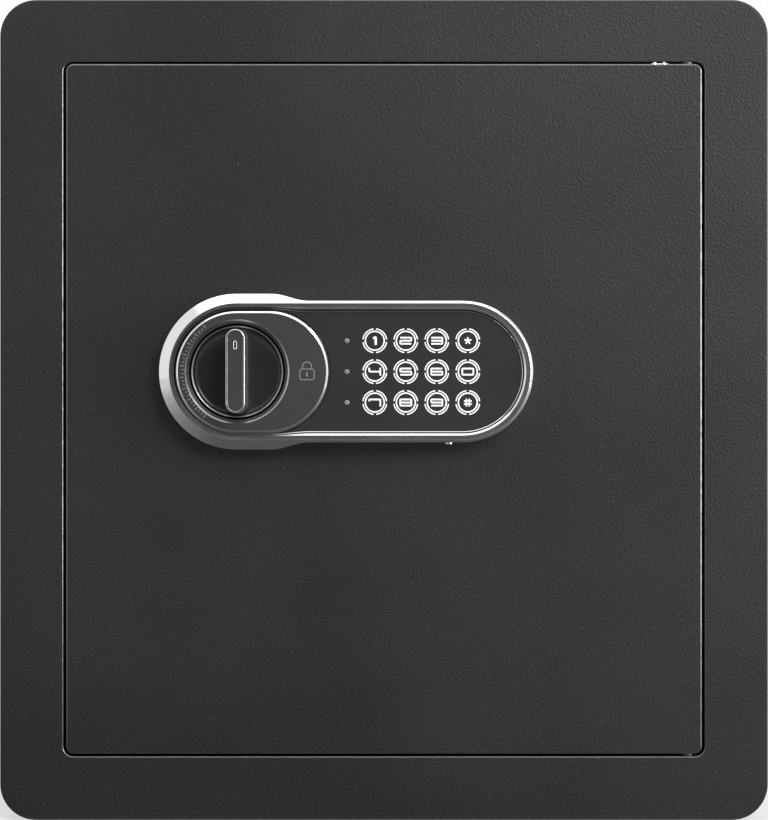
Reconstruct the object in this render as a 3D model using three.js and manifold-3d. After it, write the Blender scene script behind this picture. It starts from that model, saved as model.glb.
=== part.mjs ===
// Electronic safe: a steel cabinet with one hinged door, an oval keypad panel, a turning knob
// that throws two round bolts, and the lock parts that the door holds.
// Millimetres, +Z up. The front faces -Y, and the origin is the middle of the footprint.
import * as THREE from "three";
import { mergeVertices } from "three/addons/utils/BufferGeometryUtils.js";
import Module from "manifold-3d";

const wasm = await Module();
wasm.setup();

// Cabinet sizes
const bodyWidth = 380;
const bodyHeight = 406;
const bodyDepth = 330;
const bodyCorner = 18; // round corner of the body, seen from the front
const sheet = 2; // steel sheet of the wrap, the back, the lock jamb and the door pan
const faceThickness = 4; // front frame and door plate
const sideBand = 31.25; // front frame beside the door opening
const topBand = 30.5;
const bottomBand = 31.5;
const openingCorner = 5;
const anchorHole = 10; // bolt holes in the floor and the back
const anchorReach = 90; // anchor holes from the middle plane
const anchorDepth = 118; // floor anchor holes in front of the back panel
const anchorHeight = 250;

// Clearances
const doorGap = 1.5; // between the door and the frame's opening, all round
const slip = 0.3; // between pieces that only fit each other
const running = 0.5; // between pieces that move past each other

// Door sizes
const doorCorner = 3.5;
const hingeInset = 6.9; // hinge axis inside the door's edge
const hingeSetback = 3.5; // hinge axis behind the door's face
const pinDiameter = 5;
const pinInDoor = 14;
const pinInFrame = 10;
const clipBumps = [23, 18.5]; // bumps of the clip on the top edge, inside the door's edge
const clipWidth = 2;
const clipRise = 0.9;
const hingeBlockMargin = 8; // block beside its pin
const hingeBlockSpare = 5; // depth of the block beyond the pin's diameter
const hingeBlockRoof = 4; // metal over the end of the pin's hole
const panInset = 12; // door pan inside the top and bottom edges of the door
const panLatchInset = 6.25;
const panHingeInset = 10.35; // door pan beside the hinge axis
const panDepth = 40;
const tabWidth = 12; // corner tabs that take the cover screws
const screwDiameter = 4;
const screwHead = 7;
const screwHeadHeight = 2.2;
const panCorner = 4;

// Bolt work sizes
const boltDiameter = 18;
const boltInset = 95.5; // bolt axes inside the top and bottom edges of the door
const boltSetback = 21; // bolt axes behind the door's face
const boltThrow = 15;
const boltRest = 1.75; // retracted bolt tips inside the door's edge
const boltLength = 34.5;
const carriageThickness = 3;
const carriageWidth = 76;
const flangeWidth = 20;
const crankPin = 6;
const spindleDiameter = 8;
const camRadius = 15;
const camThickness = 3;
const plungerDiameter = 8;
const plungerTravel = 6;
const plungerOffset = 12.3; // plunger axis on the latch side of the knob
const studDiameter = 6;
const collarThickness = 1.5;
const springLength = 9;
const solenoidHeight = 34;
const solenoidMargin = 8; // solenoid's frame beside the plunger
const studFlange = 2.5; // stud's head beyond its shank
const boltNose = 1.5; // length of the bolt's reduced nose
const studFromFlange = 21; // axes of the carriage's studs
const studsFromKnob = [-60, 30];

// Keypad panel sizes: heights are measured out from the door's face
const knobInset = 85.5; // knob axis inside the door's latch edge
const panelRise = 18.25; // panel's middle line above the middle of the door
const crestRadius = 32.75; // round ends of the bezel's crest line
const crestLeft = -0.75; // centre of the left end, from the knob axis
const crestEndInset = 2.7; // centre of the right end, inside the last column of keys
const crestHeight = 14;
const boardMargin = 4; // keypad board beyond the outer keys
const bossRound = 2.5; // bosses under the keypad board
const crestFlat = 1;
const innerSlope = 1.5;
const bezelNarrow = 2; // outer slope beside the keys
const bezelWide = 6; // outer slope round the knob
const blendStart = 17; // the slope narrows between these two places, from the knob axis
const blendEnd = 34.5;
const ovalRadius = 29.5;
const ovalLeft = -0.3;
const ovalRight = 14.9;
const ovalHeight = 13;
const ovalChamfer = 1.4;
const ovalGroove = 1.2;
const housingThickness = 2.5;
const faceHeight = 12;
const faceWall = 2;
const bossHeight = 1.5;
const boardThickness = 1.6;
const matThickness = 1.5;

// Knob sizes
const recessRadius = 23.3;
const recessChamfer = 2.1;
const recessFloor = 5;
const knobRadius = 22;
const knobRim = 11.5;
const knobDish = 8.5;
const rimWidth = 1.3;
const gripWidth = 9.2;
const gripLength = 40.5;
const gripStand = 26; // top of the grip in front of the door's face
const gripEdge = 0.8;
const knobSocket = 18; // depth of the spindle's socket, as a height over the door's face
const inlayThickness = 1;

// Key sizes
const keyDiameter = 10.25;
const keyPitchX = 15.15;
const keyPitchZ = 15.1;
const keyColumns = 4;
const firstKeyX = 67.25; // left column, from the knob axis
const keyStand = 12.3;
const keyFlange = 1.2;
const keyTravel = 0.8;
const keyFlangeWidth = 0.7; // flange beyond the key's side
const matMargin = 1.2; // key mat beyond the outer keys
const lampX = 53.6; // column of three signal lamps, from the knob axis
const lampDiameter = 2.7;
const lampStand = 0.2;
const lampBase = 3; // light pipe's strip about the lamps' centres
const lampBaseDepth = 2;
const jackX = 103.5; // emergency power socket, from the knob axis
const jackDiameter = 3.5;
const jackStand = 1.2;
const jackHalfWidth = 4; // body of the socket inside the panel

// Power and control sizes
const cellDiameter = 14.5;
const cellLength = 50.5;
const cellPitch = 15.5;
const cellCount = 4;
const cellContact = 5.2; // diameter of the raised contact
const contactLength = 1;
const trayWall = 1.5;
const lidThickness = 1.7;
const lidMargin = 4;
const railWidth = 2;
const railLip = 2.5;
const trayInset = 52; // battery tray beside the pan's hinge side
const trayDrop = 72; // battery tray's lower edge under the panel's middle line
const lidGripDrop = 9; // thumb ribs under the lid's top edge
const lidGripHalf = 9; // half the length of a thumb rib
const lidRibPitch = 3;
const lidRibWidth = 1.5;
const lidRibStand = 1;
const railCap = 1.2;
const controlWidth = 100;
const controlHeight = 84;
const bossInset = 6; // bosses from the control board's edges
const bossRadius = 3;
const plugHalfWidth = 7.5; // plug of the keypad's cable
const plugHalfHeight = 3;
const plugDepth = 6;
const controlStandoff = 6; // control board in front of the back cover
// Parts on the control board: left, low, width, height and depth, from its lower corner.
const controlParts = [
  [30, 20, 26, 14, 3],
  [64, 24, 14, 12, 6],
  [18, 48, 18, 18, 8],
  [50, 52, 16, 20, 4],
];
const controlFromCable = [25, 12]; // cable axis from the board's lower corner
const resetFromCorner = [78, 60]; // reset button from the board's lower corner
const resetDiameter = 8;
const resetTravel = 1.5;

// Inside of the cabinet
const shelfHeight = 200;
const shelfThickness = 1.5;
const shelfLip = 12;
const railLeg = 12;
const interiorGap = 10; // free space behind the door before the shelf begins
const matInset = 18;
const feltThickness = 2;

// Places that follow from the sizes
const frontY = gripStand - (bodyDepth + gripStand) / 2;
const backY = frontY + bodyDepth;
const frameBack = frontY + faceThickness;
const openingX = bodyWidth / 2 - sideBand;
const openingTop = bodyHeight - topBand;
const doorX = openingX - doorGap;
const doorTop = openingTop - doorGap;
const doorBottom = bottomBand + doorGap;
const hingeX = doorX - hingeInset;
const hingeY = frontY + hingeSetback;
const panBack = frameBack + panDepth;
const coverBack = panBack + sheet;
const panLeft = panLatchInset - doorX;
const panRight = hingeX - panHingeInset;
const panBottom = doorBottom + panInset;
const panTop = doorTop - panInset;
const boltY = frontY + boltSetback;
const boltHeights = { upper: doorTop - boltInset, lower: doorBottom + boltInset };
const knobX = knobInset - doorX;
const panelZ = (doorTop + doorBottom) / 2 + panelRise;

const finish = (color, roughness, metalness) =>
  new THREE.MeshStandardMaterial({ color, roughness, metalness });
const darkPaint = finish(0x3e3c3e, 0.55, 0.2);
const paintedInside = finish(0x39383a, 0.6, 0.2);
const chrome = finish(0xd8d8dc, 0.08, 1);
const satinBlack = finish(0x2c2b2d, 0.4, 0.1);
const zincSteel = finish(0xa9abad, 0.35, 1);
const blackPlastic = finish(0x1f1f20, 0.5, 0);
const rubber = finish(0x262627, 0.85, 0);
const circuitGreen = finish(0x1f5a38, 0.5, 0);
const lampGrey = finish(0x8f8d8f, 0.3, 0);
const cellCopper = finish(0xb0703a, 0.35, 0.7);
const felt = finish(0x2b2b2e, 0.95, 0);

// A closed three.js geometry as a solid that can be joined and cut.
function solid(geometry) {
  geometry.deleteAttribute("normal");
  geometry.deleteAttribute("uv");
  const merged = mergeVertices(geometry);
  const vertProperties = merged.attributes.position.array;
  const triVerts = new Uint32Array(merged.index.array);
  return new wasm.Manifold(new wasm.Mesh({ numProp: 3, vertProperties, triVerts }));
}

function geometryOf(body) {
  const { vertProperties, triVerts } = body.getMesh();
  const geometry = new THREE.BufferGeometry();
  geometry.setAttribute("position", new THREE.BufferAttribute(vertProperties, 3));
  geometry.setIndex(new THREE.BufferAttribute(triVerts, 1));
  geometry.computeVertexNormals();
  return geometry;
}

const join = (first, ...others) => others.reduce((body, other) => body.add(other), first);
const cut = (first, ...others) => others.reduce((body, other) => body.subtract(other), first);

// A straight piece with its outline across one axis: (y, z) across "x", (x, z) across "y"
// and (x, y) across "z". It runs from one place on that axis to another.
function bar(axis, outline, from, to, steps = 8) {
  const options = { depth: 1, bevelEnabled: false, curveSegments: steps };
  const geometry = new THREE.ExtrudeGeometry(outline, options);
  const points = geometry.attributes.position;
  for (let i = 0; i < points.count; i += 1) {
    const a = points.getX(i);
    const b = points.getY(i);
    const far = points.getZ(i) > 0.5;
    if (axis === "x") points.setXYZ(i, far ? to : from, a, b);
    if (axis === "y") points.setXYZ(i, a, far ? from : to, b);
    if (axis === "z") points.setXYZ(i, a, b, far ? to : from);
  }
  return solid(geometry);
}

// An outline round four corners, with round corners where a radius is given.
function rectangle(a0, a1, b0, b1, radius = 0) {
  const shape = new THREE.Shape();
  if (radius === 0) {
    shape.moveTo(a0, b0).lineTo(a1, b0).lineTo(a1, b1).lineTo(a0, b1);
    return shape;
  }
  const turn = Math.PI / 2;
  shape.absarc(a1 - radius, b0 + radius, radius, -turn, 0);
  shape.absarc(a1 - radius, b1 - radius, radius, 0, turn);
  shape.absarc(a0 + radius, b1 - radius, radius, turn, 2 * turn);
  shape.absarc(a0 + radius, b0 + radius, radius, 2 * turn, 3 * turn);
  return shape;
}

const circle = (a, b, radius) => new THREE.Shape().absarc(a, b, radius, 0, 2 * Math.PI);

// An outline with round ends about two centres on one level line.
function stadium(left, right, level, radius) {
  const turn = Math.PI / 2;
  const shape = new THREE.Shape();
  shape.absarc(right, level, radius, -turn, turn);
  shape.absarc(left, level, radius, turn, 3 * turn);
  return shape;
}

const block = (x0, x1, y0, y1, z0, z1) => bar("y", rectangle(x0, x1, z0, z1), y0, y1);

// A piece turned about a line along Y, from (radius, place along the line) pairs.
function turned(profile, x, z, steps = 32) {
  const points = profile.map(([radius, along]) => new THREE.Vector2(radius, along));
  return solid(new THREE.LatheGeometry(points, steps).translate(x, 0, z));
}

// A skin through rings of equally many points, in order from the back to the front and
// counterclockwise from the front. The rings go round in a loop, or flat caps close both ends.
function loft(rings, loop) {
  const count = rings[0].length;
  const index = [];
  const last = loop ? rings.length : rings.length - 1;
  for (let i = 0; i < last; i += 1) {
    const next = ((i + 1) % rings.length) * count;
    for (let j = 0; j < count; j += 1) {
      const turn = (j + 1) % count;
      index.push(i * count + j, i * count + turn, next + turn);
      index.push(i * count + j, next + turn, next + j);
    }
  }
  for (let j = 1; j < count - 1 && !loop; j += 1) {
    const front = last * count;
    index.push(0, j + 1, j, front, front + j, front + j + 1);
  }
  const geometry = new THREE.BufferGeometry().setFromPoints(rings.flat());
  return solid(geometry.setIndex(index));
}

// How far a height over the door's face lies along Y.
const out = (height) => frontY - height;

const safe = new THREE.Group();
const door = new THREE.Group();
safe.add(door);

function place(group, name, body, material, x = 0, y = 0, z = 0) {
  const mesh = new THREE.Mesh(geometryOf(body), material);
  mesh.name = name;
  mesh.position.set(x, y, z);
  group.add(mesh);
}

// The wrap is one sheet bent into a round-cornered tube, open at the front and the back.
const innerX = bodyWidth / 2 - sheet;
const innerTop = bodyHeight - sheet;
const backPanelY = backY - sheet;
const outerOutline = rectangle(-bodyWidth / 2, bodyWidth / 2, 0, bodyHeight, bodyCorner);
const innerOutline = rectangle(-innerX, innerX, sheet, innerTop, bodyCorner - sheet);
const floorAnchorY = backPanelY - anchorDepth;

function outerWrap() {
  const tube = cut(
    bar("y", outerOutline, frameBack, backPanelY),
    bar("y", innerOutline, frameBack - 1, backPanelY + 1),
  );
  const holes = [-anchorReach, anchorReach].map((x) =>
    bar("z", circle(x, floorAnchorY, anchorHole / 2), -1, sheet + 1));
  return cut(tube, ...holes);
}

function backPanel() {
  const holes = [-anchorReach, anchorReach].map((x) =>
    bar("y", circle(x, anchorHeight, anchorHole / 2), backPanelY - 1, backY + 1));
  return cut(bar("y", outerOutline, backPanelY, backY), ...holes);
}

// Each hinge pin turns in a blind hole, half in the front frame and half in a block behind it.
const pinHoles = [
  bar("z", circle(hingeX, hingeY, pinDiameter / 2 + slip), openingTop - 1, openingTop + pinInFrame, 6),
  bar("z", circle(hingeX, hingeY, pinDiameter / 2 + slip), bottomBand - pinInFrame, bottomBand + 1, 6),
];

function frontFrame() {
  const opening = rectangle(-openingX, openingX, bottomBand, openingTop, openingCorner);
  const plate = cut(
    bar("y", outerOutline, frontY, frameBack),
    bar("y", opening, frontY - 1, frameBack + 1),
  );
  return cut(plate, ...pinHoles);
}

const blockHeight = pinInFrame + hingeBlockRoof;

function hingeBlock(z0, z1) {
  const halfWidth = pinDiameter / 2 + hingeBlockMargin;
  const depth = pinDiameter + hingeBlockSpare;
  const body = block(hingeX - halfWidth, hingeX + halfWidth, frameBack, frameBack + depth, z0, z1);
  return cut(body, ...pinHoles);
}

// The lock jamb is a bent strip beside the opening. The bolts run into its two holes.
function lockJamb() {
  const low = bodyCorner + sheet;
  const high = bodyHeight - bodyCorner - sheet;
  const back = frameBack + panDepth + 5;
  const leaf = block(-openingX - sheet, -openingX, frameBack, back, low, high);
  const leg = block(-innerX, -openingX - sheet / 2, back - sheet, back, low, high);
  const holes = Object.values(boltHeights).map((z) =>
    bar("x", circle(boltY, z, boltDiameter / 2 + 3 * running), -openingX - sheet - 1, -openingX + 1));
  return cut(join(leaf, leg), ...holes);
}

// The shelf rests on a rail on each side wall and has a lip along its front edge.
const shelfFront = coverBack + interiorGap;
const shelfBack = backPanelY - 2;

function shelf() {
  const edge = innerX - 1;
  const top = shelfHeight + shelfThickness;
  const tray = block(-edge, edge, shelfFront, shelfBack, shelfHeight, top);
  const lip = block(-edge, edge, shelfFront, shelfFront + shelfThickness, top - shelfLip, top);
  return join(tray, lip);
}

function shelfRail(side) {
  const wall = side * innerX;
  const inner = side * (innerX - railLeg);
  const face = side * (innerX - sheet);
  const front = shelfFront + 2 * shelfThickness;
  const flat = block(Math.min(wall, inner), Math.max(wall, inner), front, shelfBack,
    shelfHeight - sheet, shelfHeight);
  const leg = block(Math.min(wall, face), Math.max(wall, face), front, shelfBack,
    shelfHeight - railLeg, shelfHeight - sheet / 2);
  return join(flat, leg);
}

const matX = bodyWidth / 2 - sheet - matInset;
const floorMat = bar("y", rectangle(-matX, matX, sheet, sheet + feltThickness),
  coverBack + interiorGap, backPanelY - 1);

place(safe, "outer_wrap", outerWrap(), darkPaint);
place(safe, "back_panel", backPanel(), darkPaint);
place(safe, "front_frame", frontFrame(), darkPaint);
place(safe, "lock_jamb", lockJamb(), paintedInside);
place(safe, "hinge_block_top", hingeBlock(openingTop, openingTop + blockHeight), paintedInside);
place(safe, "hinge_block_bottom", hingeBlock(bottomBand - blockHeight, bottomBand), paintedInside);
place(safe, "shelf", shelf(), paintedInside);
place(safe, "shelf_rail_left", shelfRail(-1), paintedInside);
place(safe, "shelf_rail_right", shelfRail(1), paintedInside);
place(safe, "floor_mat", floorMat, felt);

// The door plate carries everything that swings. The panel's cable and the spindle pass through it.
const spindleHole = spindleDiameter / 2 + running;
const boardLeft = knobX + lampX - 5;
const lastKeyX = knobX + firstKeyX + (keyColumns - 1) * keyPitchX;
const boardRight = lastKeyX + keyDiameter / 2 + boardMargin;
const boardHalf = keyPitchZ + keyDiameter / 2 + boardMargin;
const cableX = boardLeft + 14;
const cableZ = panelZ + boardHalf - 6;
const cableHalfWidth = 6;
const cableHalfHeight = 1;

const cableHole = (y0, y1) => block(cableX - cableHalfWidth - 2, cableX + cableHalfWidth + 2,
  y0, y1, cableZ - cableHalfHeight - 2, cableZ + cableHalfHeight + 2);

const pinSeats = [
  bar("z", circle(hingeX, hingeY, pinDiameter / 2 + slip), doorTop - pinInDoor - slip, doorTop + 1, 6),
  bar("z", circle(hingeX, hingeY, pinDiameter / 2 + slip), doorBottom - 1, doorBottom + pinInDoor + slip, 6),
];

function doorPlate() {
  const plate = bar("y", rectangle(-doorX, doorX, doorBottom, doorTop, doorCorner), frontY, frameBack);
  const holes = [
    bar("y", circle(knobX, panelZ, spindleHole), frontY - 1, frameBack + 1),
    cableHole(frontY - 1, frameBack + 1),
  ];
  return cut(plate, ...holes, ...pinSeats);
}

const hingePin = (z0, z1) => bar("z", circle(hingeX, hingeY, pinDiameter / 2), z0, z1, 6);

// A spring clip on the door's top edge, with two domed bumps, lies in the gap beside the hinge.
function hingePinClip() {
  const front = frontY + clipWidth / 4;
  const back = front + clipWidth;
  const [outer, inner] = clipBumps.map((inset) => doorX - inset);
  const strip = block(outer - clipWidth, inner + clipWidth, front, back, doorTop, doorTop + clipRise / 2);
  const above = block(outer - clipWidth, inner + clipWidth, front - 1, back + 1, doorTop, doorTop + doorGap);
  const bumps = [outer, inner].map((x) => bar("y", circle(x, doorTop, clipRise), front, back, 6));
  return join(strip, ...bumps.map((bump) => bump.intersect(above)));
}

// The pan is a four-sided box behind the door plate, with a screw tab in each corner.
const tabCentres = [
  [panLeft + sheet + tabWidth / 2, panTop - sheet - tabWidth / 2],
  [panRight - sheet - tabWidth / 2, panTop - sheet - tabWidth / 2],
  [panLeft + sheet + tabWidth / 2, panBottom + sheet + tabWidth / 2],
  [panRight - sheet - tabWidth / 2, panBottom + sheet + tabWidth / 2],
];
const screwHole = screwDiameter / 2 + slip;

function doorPan() {
  const outside = rectangle(panLeft, panRight, panBottom, panTop, panCorner);
  const inside = rectangle(panLeft + sheet, panRight - sheet, panBottom + sheet, panTop - sheet,
    panCorner - sheet);
  const walls = cut(
    bar("y", outside, frameBack, panBack, 3),
    bar("y", inside, frameBack - 1, panBack + 1, 3),
  );
  const reach = tabWidth / 2 + sheet / 2;
  const tabs = tabCentres.map(([x, z]) =>
    block(x - reach, x + reach, panBack - sheet, panBack, z - reach, z + reach));
  const screwHoles = tabCentres.map(([x, z]) =>
    bar("y", circle(x, z, screwHole), panBack - sheet - 1, panBack + 1, 6));
  const boltHoles = Object.values(boltHeights).map((z) =>
    bar("x", circle(boltY, z, boltDiameter / 2 + slip), panLeft - 1, panLeft + sheet + 1));
  return cut(join(walls, ...tabs), ...screwHoles, ...boltHoles);
}

// The battery tray opens through the back cover. A lid slides down over it between two rails.
const trayRight = panRight - trayInset;
const trayLeft = trayRight - cellLength - 2 * running - 2 * trayWall;
const trayBottom = panelZ - trayDrop;
const trayTop = trayBottom + cellCount * cellPitch + 2 * trayWall;
const trayDepth = cellDiameter + 2 * running + trayWall;
const controlLeft = cableX - controlFromCable[0];
const controlBottom = cableZ - controlFromCable[1];
const controlBoardBack = panBack - controlStandoff;
const controlBoardFront = controlBoardBack - boardThickness;
const resetX = controlLeft + resetFromCorner[0];
const resetZ = controlBottom + resetFromCorner[1];
const lidX0 = trayLeft - lidMargin;
const lidX1 = trayRight + lidMargin;
const lidBottom = trayBottom - lidMargin;
const lidTop = trayTop + lidMargin;

function lidRail(x, side) {
  const outer = x + side * (slip + railWidth);
  const wall = x + side * slip;
  const lip = x - side * railLip;
  const depth = coverBack + slip + lidThickness + slip;
  const back = depth + railCap;
  const leg = block(Math.min(outer, wall), Math.max(outer, wall), panBack + sheet / 2, back,
    lidBottom, lidTop);
  const cap = block(Math.min(outer, lip), Math.max(outer, lip), depth, back, lidBottom, lidTop);
  return join(leg, cap);
}

function doorBackCover() {
  const plate = bar("y", rectangle(panLeft, panRight, panBottom, panTop, panCorner), panBack, coverBack, 3);
  const bosses = [bossInset, controlWidth - bossInset].flatMap((x) =>
    [bossInset, controlHeight - bossInset].map((z) => bar("y",
      circle(controlLeft + x, controlBottom + z, bossRadius), controlBoardBack, panBack + sheet / 2, 4)));
  const rails = [lidRail(lidX0, -1), lidRail(lidX1, 1)];
  const opening = block(trayLeft + trayWall, trayRight - trayWall, panBack - 1, coverBack + 1,
    trayBottom + trayWall, trayTop - trayWall);
  const screwHoles = tabCentres.map(([x, z]) =>
    bar("y", circle(x, z, screwHole), panBack - 1, coverBack + 1, 6));
  const resetHole = bar("y", circle(resetX, resetZ, resetDiameter / 2 + slip), panBack - 1, coverBack + 1, 8);
  return cut(join(plate, ...bosses, ...rails), opening, ...screwHoles, resetHole);
}

// A machine screw with its head behind the cover, about its own axis.
const coverScrew = () => join(
  bar("y", circle(0, 0, screwDiameter / 2), panBack - 2 * sheet - coverBack, 0.5, 6),
  bar("y", circle(0, 0, screwHead / 2), 0, screwHeadHeight, 8),
);

function batteryBox() {
  const front = panBack - trayDepth;
  const tray = block(trayLeft, trayRight, front, panBack, trayBottom, trayTop);
  const hollow = block(trayLeft + trayWall, trayRight - trayWall, front + trayWall, panBack + 1,
    trayBottom + trayWall, trayTop - trayWall);
  return cut(tray, hollow);
}

// One round cell with its raised contact at one end, about its middle.
const cell = () => join(
  bar("x", circle(0, 0, cellDiameter / 2), -cellLength / 2, cellLength / 2 - contactLength, 6),
  bar("x", circle(0, 0, cellContact / 2), 0, cellLength / 2, 3),
);

function controlBoard() {
  const board = block(controlLeft, controlLeft + controlWidth, controlBoardFront, controlBoardBack,
    controlBottom, controlBottom + controlHeight);
  const parts = controlParts.map(([left, low, width, height, depth]) =>
    block(controlLeft + left, controlLeft + left + width,
      controlBoardFront - depth, controlBoardFront + boardThickness / 2,
      controlBottom + low, controlBottom + low + height));
  return join(board, ...parts);
}

place(door, "door_plate", doorPlate(), darkPaint);
place(door, "hinge_pin_top", hingePin(doorTop - pinInDoor, openingTop + pinInFrame - slip), zincSteel);
place(door, "hinge_pin_bottom", hingePin(bottomBand - pinInFrame + slip, doorBottom + pinInDoor), zincSteel);
place(door, "hinge_pin_clip", hingePinClip(), zincSteel);
place(door, "door_pan", doorPan(), paintedInside);
place(door, "door_back_cover", doorBackCover(), paintedInside);
tabCentres.forEach(([x, z], i) =>
  place(door, `cover_screw_${i + 1}`, coverScrew(), zincSteel, x, coverBack, z));
place(door, "battery_box", batteryBox(), blackPlastic);
for (let i = 0; i < cellCount; i += 1) {
  const y = panBack - trayDepth + trayWall + running + cellDiameter / 2;
  const z = trayBottom + trayWall + (i + 0.5) * cellPitch;
  place(door, `battery_${i + 1}`, cell(), cellCopper, (trayLeft + trayRight) / 2, y, z);
}
place(door, "control_board", controlBoard(), circuitGreen);

// The lid has a ribbed thumb grip near its top.
function batteryLid() {
  const face = coverBack + slip;
  const plate = block(lidX0, lidX1, face, face + lidThickness, lidBottom, lidTop);
  const middle = (lidX0 + lidX1) / 2;
  const ribs = [0, 1, 2].map((i) => {
    const low = lidTop - lidGripDrop - i * lidRibPitch;
    return block(middle - lidGripHalf, middle + lidGripHalf,
      face + lidThickness / 2, face + lidThickness + lidRibStand, low, low + lidRibWidth);
  });
  return join(plate, ...ribs);
}

// The reset button passes through the back cover and has a flange inside it.
function resetButton() {
  const stem = bar("y", circle(0, 0, resetDiameter / 2),
    resetTravel + running - controlStandoff, sheet + resetTravel, 8);
  const flange = bar("y", circle(0, 0, resetDiameter / 2 + 2), -slip - 1.2, -slip, 8);
  return join(stem, flange);
}

place(door, "battery_lid", batteryLid(), blackPlastic);
place(door, "reset_button", resetButton(), rubber, resetX, panBack, resetZ);

// The bolt work: the knob's crank pin drives a flat carriage sideways, and both bolts stand on
// the carriage's flange. At rest the bolts are drawn in and the knob stands upright.
const boltTip = boltRest - doorX;
const flangeX = boltTip + boltLength;
const carriageFront = boltY - carriageThickness;
const carriageTop = boltHeights.upper + boltDiameter / 2 + 4.5;
const carriageBottom = boltHeights.lower - boltDiameter / 2 - 4.5;
const crankRadius = boltThrow / (2 * Math.sin(Math.PI / 4));
const crankX = knobX + boltThrow / 2;
const crankZ = panelZ - boltThrow / 2;
const plungerX = knobX - plungerOffset;
const plungerY = boltY - carriageThickness / 2;
const plungerTip = carriageTop + 1;
const collarTop = plungerTip + plungerTravel + 1 + collarThickness;
const springTop = collarTop + slip + springLength;
const solenoidBottom = springTop + slip;
const studX = flangeX + studFromFlange;
const studHeights = studsFromKnob.map((rise) => panelZ + rise);

function carriagePlate() {
  const plate = block(flangeX, flangeX + carriageWidth, carriageFront, boltY, carriageBottom, carriageTop);
  const flange = block(flangeX, flangeX + carriageThickness, boltY - flangeWidth / 2,
    boltY + flangeWidth / 2, carriageBottom, carriageTop);
  const through = (x0, x1, z0, z1) => block(x0, x1, carriageFront - 1, boltY + 1, z0, z1);
  const window = through(knobX - spindleHole, knobX + spindleHole + boltThrow,
    panelZ - spindleHole, panelZ + spindleHole);
  const slotHalf = crankPin / 2 + running;
  const crankSlot = through(crankX - slotHalf, crankX + slotHalf,
    panelZ - crankRadius - slotHalf, panelZ);
  const studHalf = studDiameter / 2 + running;
  const studSlots = studHeights.map((z) => bar("y",
    stadium(studX, studX + boltThrow, z, studHalf), carriageFront - 1, boltY + 1, 6));
  const notchHalf = plungerDiameter / 2 + 1;
  const notches = [plungerX, plungerX + boltThrow].map((x) =>
    through(x - notchHalf, x + notchHalf, carriageTop - plungerTravel - 1, carriageTop + 1));
  return cut(join(plate, flange), window, crankSlot, ...studSlots, ...notches);
}

// A round bolt about its own axis, with a slightly tapered nose towards the frame.
const bolt = () => join(
  bar("x", circle(0, 0, boltDiameter / 2), boltNose - boltLength, 0, 8),
  bar("x", circle(0, 0, boltDiameter / 2 - 1), -boltLength, 0, 8),
);

// A strip on the back of the door plate holds two shouldered studs for the carriage to slide on.
function carriageGuide() {
  const strip = block(studX - 8, studX + 8, frameBack, frameBack + sheet,
    studHeights[0] - 10, studHeights[1] + 10);
  const studs = studHeights.flatMap((z) => [
    bar("y", circle(studX, z, studDiameter / 2 + 2), frameBack + 1, carriageFront - running, 8),
    bar("y", circle(studX, z, studDiameter / 2), frameBack + 1, boltY + running + 2, 8),
    bar("y", circle(studX, z, studDiameter / 2 + studFlange), boltY + running, boltY + running + 2, 8),
  ]);
  return join(strip, ...studs);
}

const camFront = boltY + running + slip;
const spindle = () => bar("y", circle(knobX, panelZ, spindleDiameter / 2),
  out(knobSocket - slip), camFront + camThickness + 2, 8);

function driveCam() {
  const disc = bar("y", circle(knobX, panelZ, camRadius), camFront, camFront + camThickness, 12);
  const pin = bar("y", circle(crankX, crankZ, crankPin / 2), carriageFront - 2, camFront + 1, 8);
  const bore = bar("y", circle(knobX, panelZ, spindleDiameter / 2 + slip),
    camFront - 1, camFront + camThickness + 1, 8);
  return cut(join(disc, pin), bore);
}

// The plunger drops from the solenoid into a notch of the carriage and blocks both bolts.
function plunger() {
  const rod = bar("z", circle(plungerX, plungerY, plungerDiameter / 2),
    plungerTip, solenoidBottom + solenoidHeight - 10, 8);
  const collar = bar("z", circle(plungerX, plungerY, plungerDiameter / 2 + 2.5),
    collarTop - collarThickness, collarTop, 8);
  return join(rod, collar);
}

function plungerSpring() {
  const outside = bar("z", circle(plungerX, plungerY, plungerDiameter / 2 + 2), collarTop + slip, springTop);
  const inside = bar("z", circle(plungerX, plungerY, plungerDiameter / 2 + 1), collarTop, springTop + 1);
  return cut(outside, inside);
}

function solenoidBody() {
  const half = plungerDiameter / 2 + solenoidMargin;
  const coilBox = block(plungerX - half, plungerX + half, frameBack, plungerY + half,
    solenoidBottom, solenoidBottom + solenoidHeight);
  const bore = bar("z", circle(plungerX, plungerY, plungerDiameter / 2 + slip),
    solenoidBottom - 1, solenoidBottom + solenoidHeight - 6, 8);
  return cut(coilBox, bore);
}

place(door, "carriage_guide", carriageGuide(), zincSteel);
place(door, "carriage_plate", carriagePlate(), zincSteel);
for (const [side, z] of Object.entries(boltHeights)) {
  place(door, `bolt_${side}`, bolt(), zincSteel, flangeX, boltY, z);
}
place(door, "spindle", spindle(), zincSteel);
place(door, "drive_cam", driveCam(), zincSteel);
place(door, "plunger", plunger(), zincSteel);
place(door, "plunger_spring", plungerSpring(), zincSteel);
place(door, "solenoid_body", solenoidBody(), zincSteel);

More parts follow.
